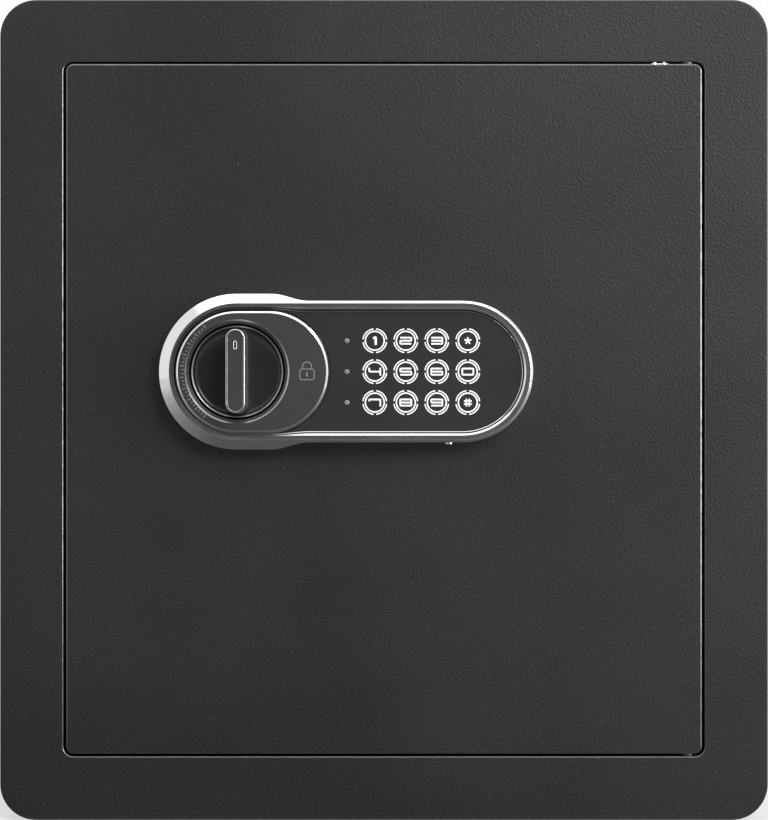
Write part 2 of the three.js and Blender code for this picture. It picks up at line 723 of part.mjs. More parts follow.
// The keypad panel is a flat oval on the door: a base tray, a chrome bezel round it, a raised
// oval plate for the knob at the left, and a face with the keys at the right.
const panelLeft = knobX + crestLeft;
const panelRight = lastKeyX - crestEndInset;
const bezelInside = crestRadius - crestFlat / 2 - innerSlope;
const housingRadius = bezelInside - slip;
const faceRadius = bezelInside - running;
const boardBottom = housingThickness + bossHeight;
const boardTop = boardBottom + boardThickness;
const matTop = boardTop + matThickness;
const keyBottom = matTop + running + keyTravel;
const columns = Array.from({ length: keyColumns }, (_, i) => knobX + firstKeyX + i * keyPitchX);
const rows = [1, 0, -1].map((i) => panelZ + i * keyPitchZ);
const jackZ = panelZ - crestRadius - bezelNarrow - jackStand;
const socketX = knobX + jackX;
const socketFloor = panelZ - faceRadius + faceWall + slip;
const socketHeight = (boardTop + faceHeight - faceWall - slip) / 2;

const socketHole = (clearance) => bar("z",
  circle(socketX, out(socketHeight), jackDiameter / 2 + clearance), jackZ, socketFloor, 6);

function panelHousing() {
  const base = bar("y", stadium(panelLeft, panelRight, panelZ, housingRadius),
    out(housingThickness), frontY, 10);
  const bosses = [boardLeft + 3, boardRight - 3].flatMap((x) => [-1, 1].map((side) =>
    bar("y", circle(x, panelZ + side * (boardHalf - 3), bossRound), out(boardBottom), out(1), 4)));
  const hole = bar("y", circle(knobX, panelZ, spindleHole), out(housingThickness + 1), frontY + 1);
  return cut(join(base, ...bosses), hole, cableHole(out(housingThickness + 1), frontY + 1));
}

// The bezel's crest line is a stadium. From its flat crest the inside drops at 45 degrees to a
// straight wall, and so does the outside, which spreads into a wide lip round the knob.
function bezelSlope(x, normalX) {
  const t = THREE.MathUtils.smoothstep(x, knobX + blendStart, knobX + blendEnd);
  const lip = bezelWide - crestLeft * normalX;
  return THREE.MathUtils.lerp(lip, bezelNarrow, t);
}

function crestStations() {
  const arc = 20;
  const straight = 16;
  const stations = [];
  for (let i = 0; i <= arc; i += 1) {
    const angle = -Math.PI / 2 + Math.PI * i / arc;
    stations.push([panelRight, Math.cos(angle), Math.sin(angle)]);
  }
  for (let i = 1; i < straight; i += 1) {
    stations.push([THREE.MathUtils.lerp(panelRight, panelLeft, i / straight), 0, 1]);
  }
  for (let i = 0; i <= arc; i += 1) {
    const angle = Math.PI / 2 + Math.PI * i / arc;
    stations.push([panelLeft, Math.cos(angle), Math.sin(angle)]);
  }
  for (let i = 1; i < straight; i += 1) {
    stations.push([THREE.MathUtils.lerp(panelLeft, panelRight, i / straight), 0, -1]);
  }
  return stations;
}

function chromeBezel() {
  const rings = crestStations().map(([centreX, normalX, normalZ]) => {
    const slope = bezelSlope(centreX + crestRadius * normalX, normalX);
    const half = crestFlat / 2;
    const profile = [
      [-half - innerSlope, 0],
      [-half - innerSlope, crestHeight - innerSlope],
      [-half, crestHeight],
      [half, crestHeight],
      [slope, crestHeight - slope + half],
      [slope, 0],
    ];
    return profile.map(([offset, height]) => new THREE.Vector3(
      centreX + (crestRadius + offset) * normalX, out(height), panelZ + (crestRadius + offset) * normalZ));
  });
  return cut(loft(rings, true), socketHole(slip));
}

function keypadFace() {
  const besideOval = (gap) => bar("y", stadium(knobX + ovalLeft, knobX + ovalRight, panelZ,
    ovalRadius + ovalGroove + gap), out(faceHeight + 1), frontY, 12);
  const cap = bar("y", stadium(panelLeft, panelRight, panelZ, faceRadius),
    out(faceHeight), out(housingThickness), 12);
  const hollow = cut(
    bar("y", stadium(panelLeft, panelRight, panelZ, faceRadius - faceWall),
      out(faceHeight - faceWall), frontY, 12),
    besideOval(faceWall),
  );
  const hole = (x, z, diameter, steps) => bar("y", circle(x, z, diameter / 2 + slip),
    out(faceHeight + 1), out(faceHeight - faceWall - 1), steps);
  const keyHoles = columns.flatMap((x) => rows.map((z) => hole(x, z, keyDiameter, 10)));
  const lampHoles = rows.map((z) => hole(knobX + lampX, z, lampDiameter, 5));
  return cut(cap, besideOval(0), hollow, ...keyHoles, ...lampHoles, socketHole(slip));
}

// Rings of one stadium outline, each at its own inset and height, from the back to the front.
function stadiumRings(left, right, radius, levels) {
  return levels.map(([inset, height]) => stadium(left, right, panelZ, radius - inset)
    .getPoints(10).slice(0, -1).map((point) => new THREE.Vector3(point.x, out(height), point.y)));
}

function knobPlate() {
  const levels = [[0, housingThickness], [0, ovalHeight - ovalChamfer], [ovalChamfer, ovalHeight]];
  const plate = loft(stadiumRings(knobX + ovalLeft, knobX + ovalRight, ovalRadius, levels), false);
  const recess = turned([
    [0, out(ovalHeight + 1)],
    [recessRadius + recessChamfer + 1, out(ovalHeight + 1)],
    [recessRadius, out(ovalHeight - recessChamfer)],
    [recessRadius, out(recessFloor)],
    [0, out(recessFloor)],
  ], knobX, panelZ, 40);
  return cut(plate, recess, bar("y", circle(knobX, panelZ, spindleHole), out(recessFloor + 1), frontY));
}

// The knob is a dished disc with a straight grip across it, round at both ends. The grip's top
// holds an inlay.
function gripRing(inset, height) {
  const radius = gripWidth / 2 - inset;
  const reach = (gripLength - gripWidth) / 2;
  const shape = new THREE.Shape();
  shape.absarc(knobX, panelZ + reach, radius, 0, Math.PI);
  shape.absarc(knobX, panelZ - reach, radius, Math.PI, 2 * Math.PI);
  return shape.getPoints(6).slice(0, -1).map((point) => new THREE.Vector3(point.x, out(height), point.y));
}
const inlayFloor = gripStand - slip - inlayThickness;

function knob() {
  const disc = turned([
    [0, out(knobDish)],
    [knobRadius - rimWidth, out(knobDish)],
    [knobRadius - rimWidth, out(knobRim)],
    [knobRadius, out(knobRim)],
    [knobRadius, out(recessFloor + running)],
    [0, out(recessFloor + running)],
  ], knobX, panelZ, 40);
  const levels = [[0, knobDish - 1], [0, gripStand - gripEdge], [gripEdge, gripStand]];
  const grip = loft(levels.map(([inset, height]) => gripRing(inset, height)), false);
  const pocketRings = [inlayFloor, gripStand + 1].map((height) => gripRing(gripEdge + slip, height));
  const pocket = loft(pocketRings, false);
  const socket = bar("y", circle(knobX, panelZ, spindleDiameter / 2 + slip), out(knobSocket), frontY);
  return cut(join(disc, grip), pocket, socket);
}

const knobInlay = () =>
  loft([gripRing(gripEdge + 2 * slip, inlayFloor), gripRing(gripEdge + 2 * slip, gripStand - slip)], false);

// A key cap with the flange that keeps it behind the face, about its own axis.
function keyCap() {
  const stand = keyStand - keyBottom;
  const radius = keyDiameter / 2;
  return turned([
    [0, -stand],
    [radius - slip, -stand],
    [radius, slip - stand],
    [radius, -keyFlange],
    [radius + keyFlangeWidth, -keyFlange],
    [radius + keyFlangeWidth, 0],
    [0, 0],
  ], 0, 0, 20);
}

const matReach = keyDiameter / 2 + matMargin;
const keyMat = () => block(columns[0] - keyDiameter / 2 - 2, lastKeyX + keyDiameter / 2 + 2,
  out(matTop), out(boardTop), rows[2] - matReach, rows[0] + matReach);

const keypadBoard = () => block(boardLeft, boardRight, out(boardTop), out(boardBottom),
  panelZ - boardHalf, panelZ + boardHalf);

function lampPipe() {
  const base = block(knobX + lampX - lampBase, knobX + lampX + lampBase,
    out(boardTop + lampBaseDepth), out(boardTop), rows[2] - lampBase, rows[0] + lampBase);
  const posts = rows.map((z) => bar("y", circle(knobX + lampX, z, lampDiameter / 2),
    out(faceHeight + lampStand), out(boardTop + 1), 5));
  return join(base, ...posts);
}

function powerJack() {
  const body = block(socketX - jackHalfWidth, socketX + jackHalfWidth,
    out(faceHeight - faceWall - slip), out(boardTop), socketFloor, rows[2] - matReach - running);
  const collar = bar("z", circle(socketX, out(socketHeight), jackDiameter / 2), jackZ, socketFloor + 1, 6);
  const bore = bar("z", circle(socketX, out(socketHeight), jackDiameter / 4), jackZ - 1, jackZ + 6, 4);
  return cut(join(body, collar), bore);
}

// A flat cable with a plug at each end joins the keypad's board to the control board.
function keypadCable() {
  const strand = block(cableX - cableHalfWidth, cableX + cableHalfWidth, out(boardBottom), controlBoardFront,
    cableZ - cableHalfHeight, cableZ + cableHalfHeight);
  const plug = block(cableX - plugHalfWidth, cableX + plugHalfWidth, controlBoardFront - plugDepth,
    controlBoardFront, cableZ - plugHalfHeight, cableZ + plugHalfHeight);
  return join(strand, plug);
}

place(door, "panel_housing", panelHousing(), blackPlastic);
place(door, "chrome_bezel", chromeBezel(), chrome);
place(door, "keypad_face", keypadFace(), satinBlack);
place(door, "knob_plate", knobPlate(), satinBlack);
place(door, "knob", knob(), chrome);
place(door, "knob_inlay", knobInlay(), satinBlack);
place(door, "keypad_board", keypadBoard(), circuitGreen);
place(door, "key_mat", keyMat(), rubber);
place(door, "led_light_pipe", lampPipe(), lampGrey);
place(door, "power_jack", powerJack(), zincSteel);
place(door, "keypad_cable", keypadCable(), rubber);

const keyNames = [["1", "2", "3", "star"], ["4", "5", "6", "0"], ["7", "8", "9", "hash"]];
keyNames.forEach((names, row) => names.forEach((name, column) =>
  place(door, `key_${name}`, keyCap(), satinBlack, columns[column], out(keyBottom), rows[row])));

export default safe;
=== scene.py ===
import bmesh
import bpy
import numpy as np
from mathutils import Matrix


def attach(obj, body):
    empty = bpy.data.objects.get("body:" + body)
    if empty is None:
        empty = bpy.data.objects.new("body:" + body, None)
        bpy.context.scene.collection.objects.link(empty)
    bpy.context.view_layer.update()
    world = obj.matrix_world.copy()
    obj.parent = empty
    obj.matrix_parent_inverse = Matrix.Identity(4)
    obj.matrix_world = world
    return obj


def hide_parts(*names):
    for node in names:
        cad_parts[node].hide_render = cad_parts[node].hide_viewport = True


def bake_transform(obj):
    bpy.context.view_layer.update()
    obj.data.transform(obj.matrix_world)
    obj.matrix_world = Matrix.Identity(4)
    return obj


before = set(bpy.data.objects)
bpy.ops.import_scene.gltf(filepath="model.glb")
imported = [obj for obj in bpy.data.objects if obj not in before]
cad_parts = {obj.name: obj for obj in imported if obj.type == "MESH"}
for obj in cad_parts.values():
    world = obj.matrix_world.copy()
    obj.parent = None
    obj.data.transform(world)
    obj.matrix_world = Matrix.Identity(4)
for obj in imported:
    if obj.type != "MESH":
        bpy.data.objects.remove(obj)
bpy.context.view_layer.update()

# An electronic safe, put together in the order in which it is built. Sizes are in millimetres
# in the frame's own axes, +Z up and the front towards -Y, and every mesh is stored in metres.
MM = 0.001
scene = bpy.context.scene
scene.view_settings.view_transform = "Standard"


# Camera
# It stands one metre in front of the door's face, level with the middle of the safe, and its
# picture is as high as the front, less a hair that the rounded edges lose.
door_face = -152.0
body_height = 406.0
camera_distance = 1000.0
edge_loss = 0.4
camera_data = bpy.data.cameras.new("camera")
camera_data.sensor_fit = "VERTICAL"
camera_data.sensor_height = 24.0
camera_data.lens = camera_data.sensor_height * camera_distance / (body_height - edge_loss)
camera_data.clip_start = 0.01
camera = bpy.data.objects.new("camera", camera_data)
camera.location = (0.0, (door_face - camera_distance) * MM, 0.5 * body_height * MM)
camera.rotation_euler = (np.pi / 2, 0.0, 0.0)
scene.collection.objects.link(camera)
scene.camera = camera


# Studio
# A plain pale floor, a wide soft lamp overhead to the left, one at the upper right and one beside
# the safe, and a room that is white for the camera and in polished pieces. Two dark cards show
# in polished pieces only.
def shade(red, green, blue):
    """A colour written as it looks on a screen, 0 to 255, as the light it stands for."""
    levels = np.array((red, green, blue)) / 255.0
    light = np.where(levels <= 0.04045, levels / 12.92, ((levels + 0.055) / 1.055) ** 2.4)
    return (*light.tolist(), 1.0)


def soft_lamp(name, place, aim, width, height, power):
    """A rectangular lamp at a place in metres that faces the aim."""
    lamp = bpy.data.lights.new(name, "AREA")
    lamp.shape = "RECTANGLE"
    lamp.size = width
    lamp.size_y = height
    lamp.energy = power
    holder = bpy.data.objects.new(name, lamp)
    holder.location = place
    away = np.array(place) - np.array(aim)
    turn = np.arctan2(away[0], -away[1])
    tilt = np.arctan2(np.hypot(away[0], away[1]), away[2])
    holder.rotation_euler = (tilt, 0.0, turn)
    scene.collection.objects.link(holder)


soft_lamp("lamp_overhead", (-0.1, -0.5, 1.9), (0.0, 0.0, 0.2), 2.4, 1.8, 19.0)
soft_lamp("lamp_upper_right", (0.8, -1.45, 1.0), (0.0, -0.15, 0.25), 0.7, 0.7, 15.8)
soft_lamp("lamp_right", (1.2, -0.65, 0.4), (0.0, -0.15, 0.3), 0.6, 0.8, 12.0)


def node(owner, kind, inputs={}, **settings):
    """A node of a material or a world, with values or other nodes' outputs at its inputs."""
    made = owner.node_tree.nodes.new("ShaderNode" + kind)
    for name, value in settings.items():
        setattr(made, name, value)
    for name, value in inputs.items():
        if isinstance(value, bpy.types.NodeSocket):
            owner.node_tree.links.new(value, made.inputs[name])
        else:
            made.inputs[name].default_value = value
    return made


def shown(owner):
    """1 for what the camera, polished pieces and clear pieces show, and 0 for other light."""
    ray = node(owner, "LightPath").outputs
    either = node(owner, "Math", {0: ray["Is Camera Ray"], 1: ray["Is Glossy Ray"]}, operation="MAXIMUM")
    return node(owner, "Math", {0: either.outputs[0], 1: ray["Is Transmission Ray"]},
                operation="MAXIMUM").outputs[0]


white = (1.0, 1.0, 1.0, 1.0)
room = bpy.data.worlds.new("room")
scene.world = room
room.use_nodes = True
room.node_tree.nodes.clear()
room_light = node(room, "Background", {"Color": white, "Strength": 0.38}).outputs[0]
room_white = node(room, "Background", {"Color": white, "Strength": 1.0}).outputs[0]
room_both = node(room, "MixShader", {0: shown(room), 1: room_light, 2: room_white}).outputs[0]
node(room, "OutputWorld", {"Surface": room_both})


def finish(name, colour, roughness, metallic=0.0, specular=0.5):
    """A material with one plain colour, which its section then gives its detail."""
    material = bpy.data.materials.new(name)
    material.use_nodes = True
    inputs = material.node_tree.nodes["Principled BSDF"].inputs
    inputs["Base Color"].default_value = colour
    inputs["Roughness"].default_value = roughness
    inputs["Metallic"].default_value = metallic
    inputs["Specular IOR Level"].default_value = specular
    return material


def show(material, share, first, second):
    """Makes a material show a second shader in place of the first, by a share from 0 to 1."""
    both = node(material, "MixShader", {0: share, 1: first, 2: second}).outputs[0]
    material.node_tree.links.new(both, material.node_tree.nodes["Material Output"].inputs["Surface"])


def board(name, middle, half_width, half_height, upright, material):
    """A flat board round a middle in metres, upright or lying."""
    corners = [(half_width * i, half_height * j * (not upright), half_height * j * upright)
               for i, j in ((-1, -1), (1, -1), (1, 1), (-1, 1))]
    mesh = bpy.data.meshes.new(name)
    mesh.from_pydata(corners, [], [(0, 1, 2, 3)])
    mesh.materials.append(material)
    piece = bpy.data.objects.new(name, mesh)
    piece.location = middle
    scene.collection.objects.link(piece)
    return piece


floor_half = 3.0
floor_white = 0.6
floor_paper = finish("floor_paper", shade(215, 215, 215), 0.9, specular=0.1)
floor_share = node(floor_paper, "Math", {0: shown(floor_paper), 1: floor_white}, operation="MULTIPLY")
show(floor_paper, floor_share.outputs[0], floor_paper.node_tree.nodes["Principled BSDF"].outputs[0],
     node(floor_paper, "Emission").outputs[0])
floor = board("studio_floor", (0.0, 0.0, 0.0), floor_half, floor_half, False, floor_paper)


def dark_card(name, middle, half_width, half_height, upright, full):
    """A dark card that only polished pieces show, to draw the edges of the chrome. It thins out
    sideways, from a share of the way from its middle to its two ends."""
    paper = finish(name, shade(86, 86, 86), 0.9)
    along = node(paper, "SeparateXYZ", {0: node(paper, "TexCoord").outputs["Object"]}).outputs["X"]
    sideways = node(paper, "Math", {0: along}, operation="ABSOLUTE").outputs[0]
    cover = node(paper, "MapRange", {"Value": sideways, "From Min": half_width,
                                     "From Max": half_width * full}).outputs["Result"]
    show(paper, cover, node(paper, "BsdfTransparent").outputs[0],
         paper.node_tree.nodes["Principled BSDF"].outputs[0])
    card = board(name, middle, half_width, half_height, upright, paper)
    card.visible_camera = False
    card.visible_diffuse = False
    card.visible_shadow = False


dark_card("card_floor", (0.0, -0.3, 0.002), 1.3, 0.6, False, 0.12)
dark_card("card_front", (-0.3, -1.75, 0.3), 0.95, 0.55, True, 0.65)


# Front frame
# A 4 mm steel plate with round outer corners goes round the door opening. It is welded to the
# front of the body, ground flush, and coated with baked textured paint that rounds its edges.
def round_path(*corners, support=0.6):
    """A path round corners, counterclockwise from the front. Each corner is (x, z, first angle,
    last angle, points) in degrees. Returns the corner's centre and the outward direction at each
    station: a point of an outline is its centre plus the radius times that direction. A support
    station lies just before and after each corner, so that flat sides shade flat."""
    centres, normals = [], []
    for x, z, first, last, count in corners:
        angle = np.radians(np.linspace(first, last, count))
        middle = np.tile((x, z), (count, 1))
        outward = np.stack((np.cos(angle), np.sin(angle)), axis=1)
        if support:
            along = np.stack((-outward[:, 1], outward[:, 0]), axis=1) * support
            middle = np.vstack((middle[:1] - along[:1], middle, middle[-1:] + along[-1:]))
            outward = np.vstack((outward[:1], outward, outward[-1:]))
        centres.append(middle)
        normals.append(outward)
    return np.vstack(centres), np.vstack(normals)


def rectangle_path(left, right, low, high, radius, count=14, support=0.6):
    """The path of a rectangle whose corners have that radius."""
    return round_path(
        (right - radius, low + radius, -90, 0, count), (right - radius, high - radius, 0, 90, count),
        (left + radius, high - radius, 90, 180, count), (left + radius, low + radius, 180, 270, count),
        support=support)


def outline(path, radius):
    """The points (x, z) at that radius round a path."""
    centres, normals = path
    return centres + radius * normals


def ring(path, radius, y):
    """The outline at that radius round a path, standing at one y."""
    flat = outline(path, radius)
    return np.stack((flat[:, 0], np.full(len(flat), y), flat[:, 1]), axis=1)


def carried(path, profile):
    """A profile of (radius, y) carried along a path: one ring for each of its points."""
    return [ring(path, radius, y) for radius, y in profile]


def eased(profile, radii, steps=5):
    """A profile whose corners are rounded: a corner P turns into P + (1-s)^2 a + s^2 b, where a and
    b reach back and on along its two sides by its radius, and s goes from 0 to 1. A point a little
    further out on each side keeps the flats flat. The two ends stay as they are."""
    profile = np.array(profile, float)
    s = np.linspace(0.0, 1.0, steps + 1)
    shape = (-1,) + (1,) * (profile.ndim - 1)
    before = np.concatenate(([1.2], (1 - s) ** 2, [0.0])).reshape(shape)
    after = np.concatenate(([0.0], s ** 2, [1.2])).reshape(shape)
    pieces = [profile[:1]]
    for last, here, following, radius in zip(profile, profile[1:], profile[2:], radii):
        back = (last - here) / np.linalg.norm(last - here, axis=-1, keepdims=True) * radius
        ahead = (following - here) / np.linalg.norm(following - here, axis=-1, keepdims=True) * radius
        pieces.append(here + before * back + after * ahead if radius else here[None, :])
    return np.vstack(pieces + [profile[-1:]])


def skin(rings, loop=False, finish=0):
    """The closed surface through rings of equally many points: square (i, j) joins points j and
    j+1 of ring i to those of ring i+1. The rings go round in a loop, or the first and the last are
    closed by flat faces. finish is one number, or one for each row of squares and both ends."""
    rings = np.array(rings)
    rows, count = rings.shape[:2]
    i, j = np.meshgrid(np.arange(rows if loop else rows - 1), np.arange(count), indexing="ij")
    following, turn = (i + 1) % rows, (j + 1) % count
    squares = np.stack((i * count + j, i * count + turn, following * count + turn,
                        following * count + j), axis=-1).reshape(-1, 4)
    number = np.arange(len(squares)) // count
    ends = [] if loop else [np.arange(count)[None, ::-1], (rows - 1) * count + np.arange(count)[None]]
    finishes = np.array(finish)
    if finishes.ndim == 0:
        finishes = np.full(len(squares) // count + len(ends), finish)
    groups = [(squares, finishes[number])] + [(end, finishes[k - len(ends)][None])
                                             for k, end in enumerate(ends)]
    return rings.reshape(-1, 3), groups


def outwards(shell):
    """The shell with its faces turned outwards: the volume under all its faces is positive."""
    points, groups = shell
    centre = points.mean(0)
    volume = 0.0
    for faces, _ in groups:
        corner = points[faces] - centre
        fan = np.cross(corner[:, 1:-1], corner[:, 2:])
        volume += np.einsum("ik,ijk->", corner[:, 0], fan)
    if volume < 0:
        groups = [(faces[:, ::-1], finish) for faces, finish in groups]
    return points, groups


usual_angle = 38.0


def mesh_of(name, shells, soft_angle=usual_angle):
    """One mesh in metres from several closed shells, smooth where its faces meet at a low angle."""
    shells = [outwards(shell) for shell in shells]
    starts = np.cumsum([0] + [len(points) for points, _ in shells])
    points = np.vstack([points for points, _ in shells]) * MM
    groups = [(faces + start, finish) for (_, parts), start in zip(shells, starts)
              for faces, finish in parts]
    mesh = bpy.data.meshes.new(name)
    mesh.from_pydata(points, [], [face for faces, _ in groups for face in faces.tolist()])
    mesh.polygons.foreach_set("material_index", np.concatenate([finish for _, finish in groups]))
    mesh.shade_smooth()
    mesh.set_sharp_from_angle(angle=np.radians(soft_angle))
    return mesh


def fit(name, shells, materials, body, slot, *nodes, soft_angle=usual_angle):
    """A new piece of the safe that moves with a body and stands for CAD nodes."""
    piece = bpy.data.objects.new(name, mesh_of(name, shells, soft_angle))
    scene.collection.objects.link(piece)
    for material in materials:
        piece.data.materials.append(material)
    if body:
        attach(piece, body)
    if nodes:
        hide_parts(*nodes)
    return piece


def rod(start, end, radius, count=24):
    """A plain round rod between two points, used to drill holes."""
    start, end = np.array(start, float), np.array(end, float)
    axis = (end - start) / np.linalg.norm(end - start)
    side = np.cross(axis, (0.0, 0.0, 1.0) if abs(axis[2]) < 0.9 else (1.0, 0.0, 0.0))
    side /= np.linalg.norm(side)
    angle = np.linspace(0.0, 2 * np.pi, count, endpoint=False)[:, None]
    circle = radius * (np.cos(angle) * side + np.sin(angle) * np.cross(axis, side))
    return skin([start + circle, end + circle])


def settle(piece):
    """Makes what a piece's modifiers do part of its mesh."""
    mesh = bpy.data.meshes.new_from_object(piece.evaluated_get(bpy.context.evaluated_depsgraph_get()))
    piece.modifiers.clear()
    piece.data = mesh


def drill(piece, *shells):
    """Cuts closed shells out of a piece, for good."""
    cutter = bpy.data.objects.new("cutter", mesh_of("cutter", shells))
    scene.collection.objects.link(cutter)
    hole = piece.modifiers.new("hole", "BOOLEAN")
    hole.operation = "DIFFERENCE"
    hole.solver = "EXACT"
    hole.object = cutter
    settle(piece)
    piece.data.set_sharp_from_angle(angle=np.radians(usual_angle))
    bpy.data.objects.remove(cutter)


def feed(material, output, name):
    """Leads a node's output to an input of the material's shader."""
    shader = material.node_tree.nodes["Principled BSDF"]
    material.node_tree.links.new(output, shader.inputs[name])


def object_place(material, stretch=(1.0, 1.0, 1.0)):
    """Where a point is on the object, in metres, stretched along each axis."""
    place = node(material, "TexCoord").outputs["Object"]
    return node(material, "Mapping", {"Vector": place, "Scale": stretch}).outputs["Vector"]


def noise(material, place, scale, detail=2.0, roughness=0.5):
    """Smooth noise with so many lumps to the metre."""
    return node(material, "TexNoise", {"Vector": place, "Scale": scale, "Detail": detail,
                                       "Roughness": roughness}).outputs["Fac"]


def ranged(material, value, low, high, new_low, new_high):
    """A value from one range carried over to another and held there."""
    return node(material, "MapRange", {"Value": value, "From Min": low, "From Max": high,
                                       "To Min": new_low, "To Max": new_high}).outputs["Result"]


def clouded(material, scale, low, high, detail=3.0, stretch=(1.0, 1.0, 1.0)):
    """Lets a material's roughness change in soft clouds, from low to high."""
    cloud = noise(material, object_place(material, stretch), scale, detail)
    feed(material, ranged(material, cloud, 0.35, 0.65, low, high), "Roughness")


def blended(material, value, first, second):
    """A colour between two, by a value from 0 to 1."""
    mix = node(material, "Mix", data_type="RGBA")
    material.node_tree.links.new(value, mix.inputs["Factor"])
    for socket, colour in zip([s for s in mix.inputs if s.type == "RGBA"], (first, second)):
        if isinstance(colour, bpy.types.NodeSocket):
            material.node_tree.links.new(colour, socket)
        else:
            socket.default_value = colour
    return next(s for s in mix.outputs if s.type == "RGBA")


def relief(material, height, depth, strength=1.0, below=None):
    """Bumps of a depth in millimetres from a height of 0 to 1, on top of other bumps."""
    values = {"Height": height, "Distance": depth * MM, "Strength": strength}
    if below is not None:
        values["Normal"] = below
    return node(material, "Bump", values).outputs["Normal"]


# The coat's leather-like skin has lumps of about 1 mm with finer ones on them, and its colour
# and gloss change a little from place to place. Tiny light specks stand out here and there.
textured_paint = finish("textured_paint", shade(37, 35, 37), 0.45, specular=0.25)
coat_place = object_place(textured_paint)
lumps = node(textured_paint, "TexVoronoi", {"Vector": coat_place, "Scale": 950.0, "Smoothness": 1.0},
             feature="SMOOTH_F1").outputs["Distance"]
fine_lumps = noise(textured_paint, coat_place, 1900.0, 3.0, 0.6)
cloud = noise(textured_paint, coat_place, 9.0, 2.0)
coat_low = blended(textured_paint, ranged(textured_paint, cloud, 0.35, 0.65, 0.0, 1.0),
                   shade(34, 32, 34), shade(40, 38, 40))
grain = node(textured_paint, "TexVoronoi", {"Vector": coat_place, "Scale": 210.0}).outputs["Distance"]
light_specks = ranged(textured_paint, grain, 0.055, 0.035, 0.0, 1.0)
feed(textured_paint, blended(textured_paint, light_specks, coat_low, shade(104, 102, 104)), "Base Color")
feed(textured_paint, ranged(textured_paint, fine_lumps, 0.3, 0.7, 0.4, 0.54), "Roughness")
coat_skin = relief(textured_paint, lumps, 0.33, 0.65)
feed(textured_paint, relief(textured_paint, fine_lumps, 0.12, 0.6, coat_skin), "Normal")

# On the sharp edges of the door and its opening the coat is thin, smooth and glossy, and its
# colour is painted lighter than the coat's, a painted highlight for the bright lines these edges catch.
# A lighter colour than the coat: painted highlight on the edges.
highlit_edge_paint = finish("highlit_edge_paint", shade(52, 50, 52), 0.28, specular=1.0)
highlit_edge_paint.node_tree.nodes["Principled BSDF"].inputs["IOR"].default_value = 1.7
clouded(highlit_edge_paint, 300.0, 0.2, 0.4)
feed(highlit_edge_paint, relief(highlit_edge_paint, noise(highlit_edge_paint, object_place(highlit_edge_paint), 500.0), 0.1, 0.4), "Normal")

frame_back = -148.0
body_path = rectangle_path(-190.0, 190.0, 0.0, 406.0, 18.0, 18)
opening_path = rectangle_path(-158.75, 158.75, 31.5, 375.3, 5.0, 18)
frame_inner = eased([(5.0, frame_back), (5.0, door_face + 0.3), (5.36, door_face), (12.0, door_face)],
                    [0.06, 0.06], 2)[:-1]
frame_outer = eased([(10.0, door_face), (18.0, door_face), (18.0, frame_back)], [1.0])[1:]
hinge_x, hinge_y = 150.35, -148.5
frame_levels = np.vstack((frame_inner, frame_outer))
frame_slant = np.abs(np.roll(frame_levels, -1, axis=0) - frame_levels).min(axis=1) > 0.15
frame_slant &= frame_levels[:, 0] < 6.0
frame_rings = carried(opening_path, frame_inner) + carried(body_path, frame_outer)
front_frame = fit("frame_plate", [skin(frame_rings, loop=True, finish=frame_slant.astype(int))],
                  [textured_paint, highlit_edge_paint], "cabinet", "textured_paint", "front_frame")


def pin_hole(low, high):
    """A hole for a hinge pin, from one height to another."""
    return rod((hinge_x, hinge_y, low), (hinge_x, hinge_y, high), 2.8)


drill(front_frame, pin_hole(374.0, 385.5), pin_hole(21.5, 33.0))


# Body
# One steel sheet is bent into a round-cornered tube, with two holes in its floor for anchor
# bolts, and a flat back with two more holes closes it. Both have the same textured coat.
body_back = 176.0
anchor_x, anchor_radius = (-90.0, 90.0), 5.0
floor_anchor_y, back_anchor_z = 58.0, 250.0
wrap_profile = [(18.0, frame_back), (18.0, body_back), (16.0, body_back), (16.0, frame_back)]
wrap = fit("body_wrap", [skin(carried(body_path, wrap_profile), loop=True)],
           [textured_paint], "cabinet", "textured_paint", "outer_wrap")
drill(wrap, *[rod((x, floor_anchor_y, -5.0), (x, floor_anchor_y, 8.0), anchor_radius, 32) for x in anchor_x])

back_profile = eased([(18.0, body_back), (18.0, 178.0), (14.0, 178.0)], [0.5])
back = fit("body_back", [skin(carried(body_path, back_profile))],
           [textured_paint], "cabinet", "textured_paint", "back_panel")
drill(back, *[rod((x, 170.0, back_anchor_z), (x, 185.0, back_anchor_z), anchor_radius, 32) for x in anchor_x])


# Door plate
# A 4 mm steel plate hangs in the opening with an even gap round it. It has holes for the
# spindle and the two hinge pins, and the same coat as the frame.
door_path = rectangle_path(-157.25, 157.25, 33.0, 374.2, 3.5)
door_profile = eased([(3.5, frame_back), (3.5, door_face + 0.45), (2.8, door_face), (1.5, door_face)],
                     [0.06, 0.06], 2)
door_slant = np.abs(np.diff(door_profile, axis=0)).min(axis=1) > 0.25
door_slant = np.append(door_slant, (False, False)).astype(int)
door_plate = fit("door_steel", [skin(carried(door_path, door_profile), finish=door_slant)],
                 [textured_paint, highlit_edge_paint], "door", "textured_paint", "door_plate")
knob_x, panel_z = -71.75, 221.75
spindle_hole = rod((knob_x, -155.0, panel_z), (knob_x, -145.0, panel_z), 4.5)
drill(door_plate, spindle_hole, pin_hole(359.7, 375.0), pin_hole(32.0, 47.3))


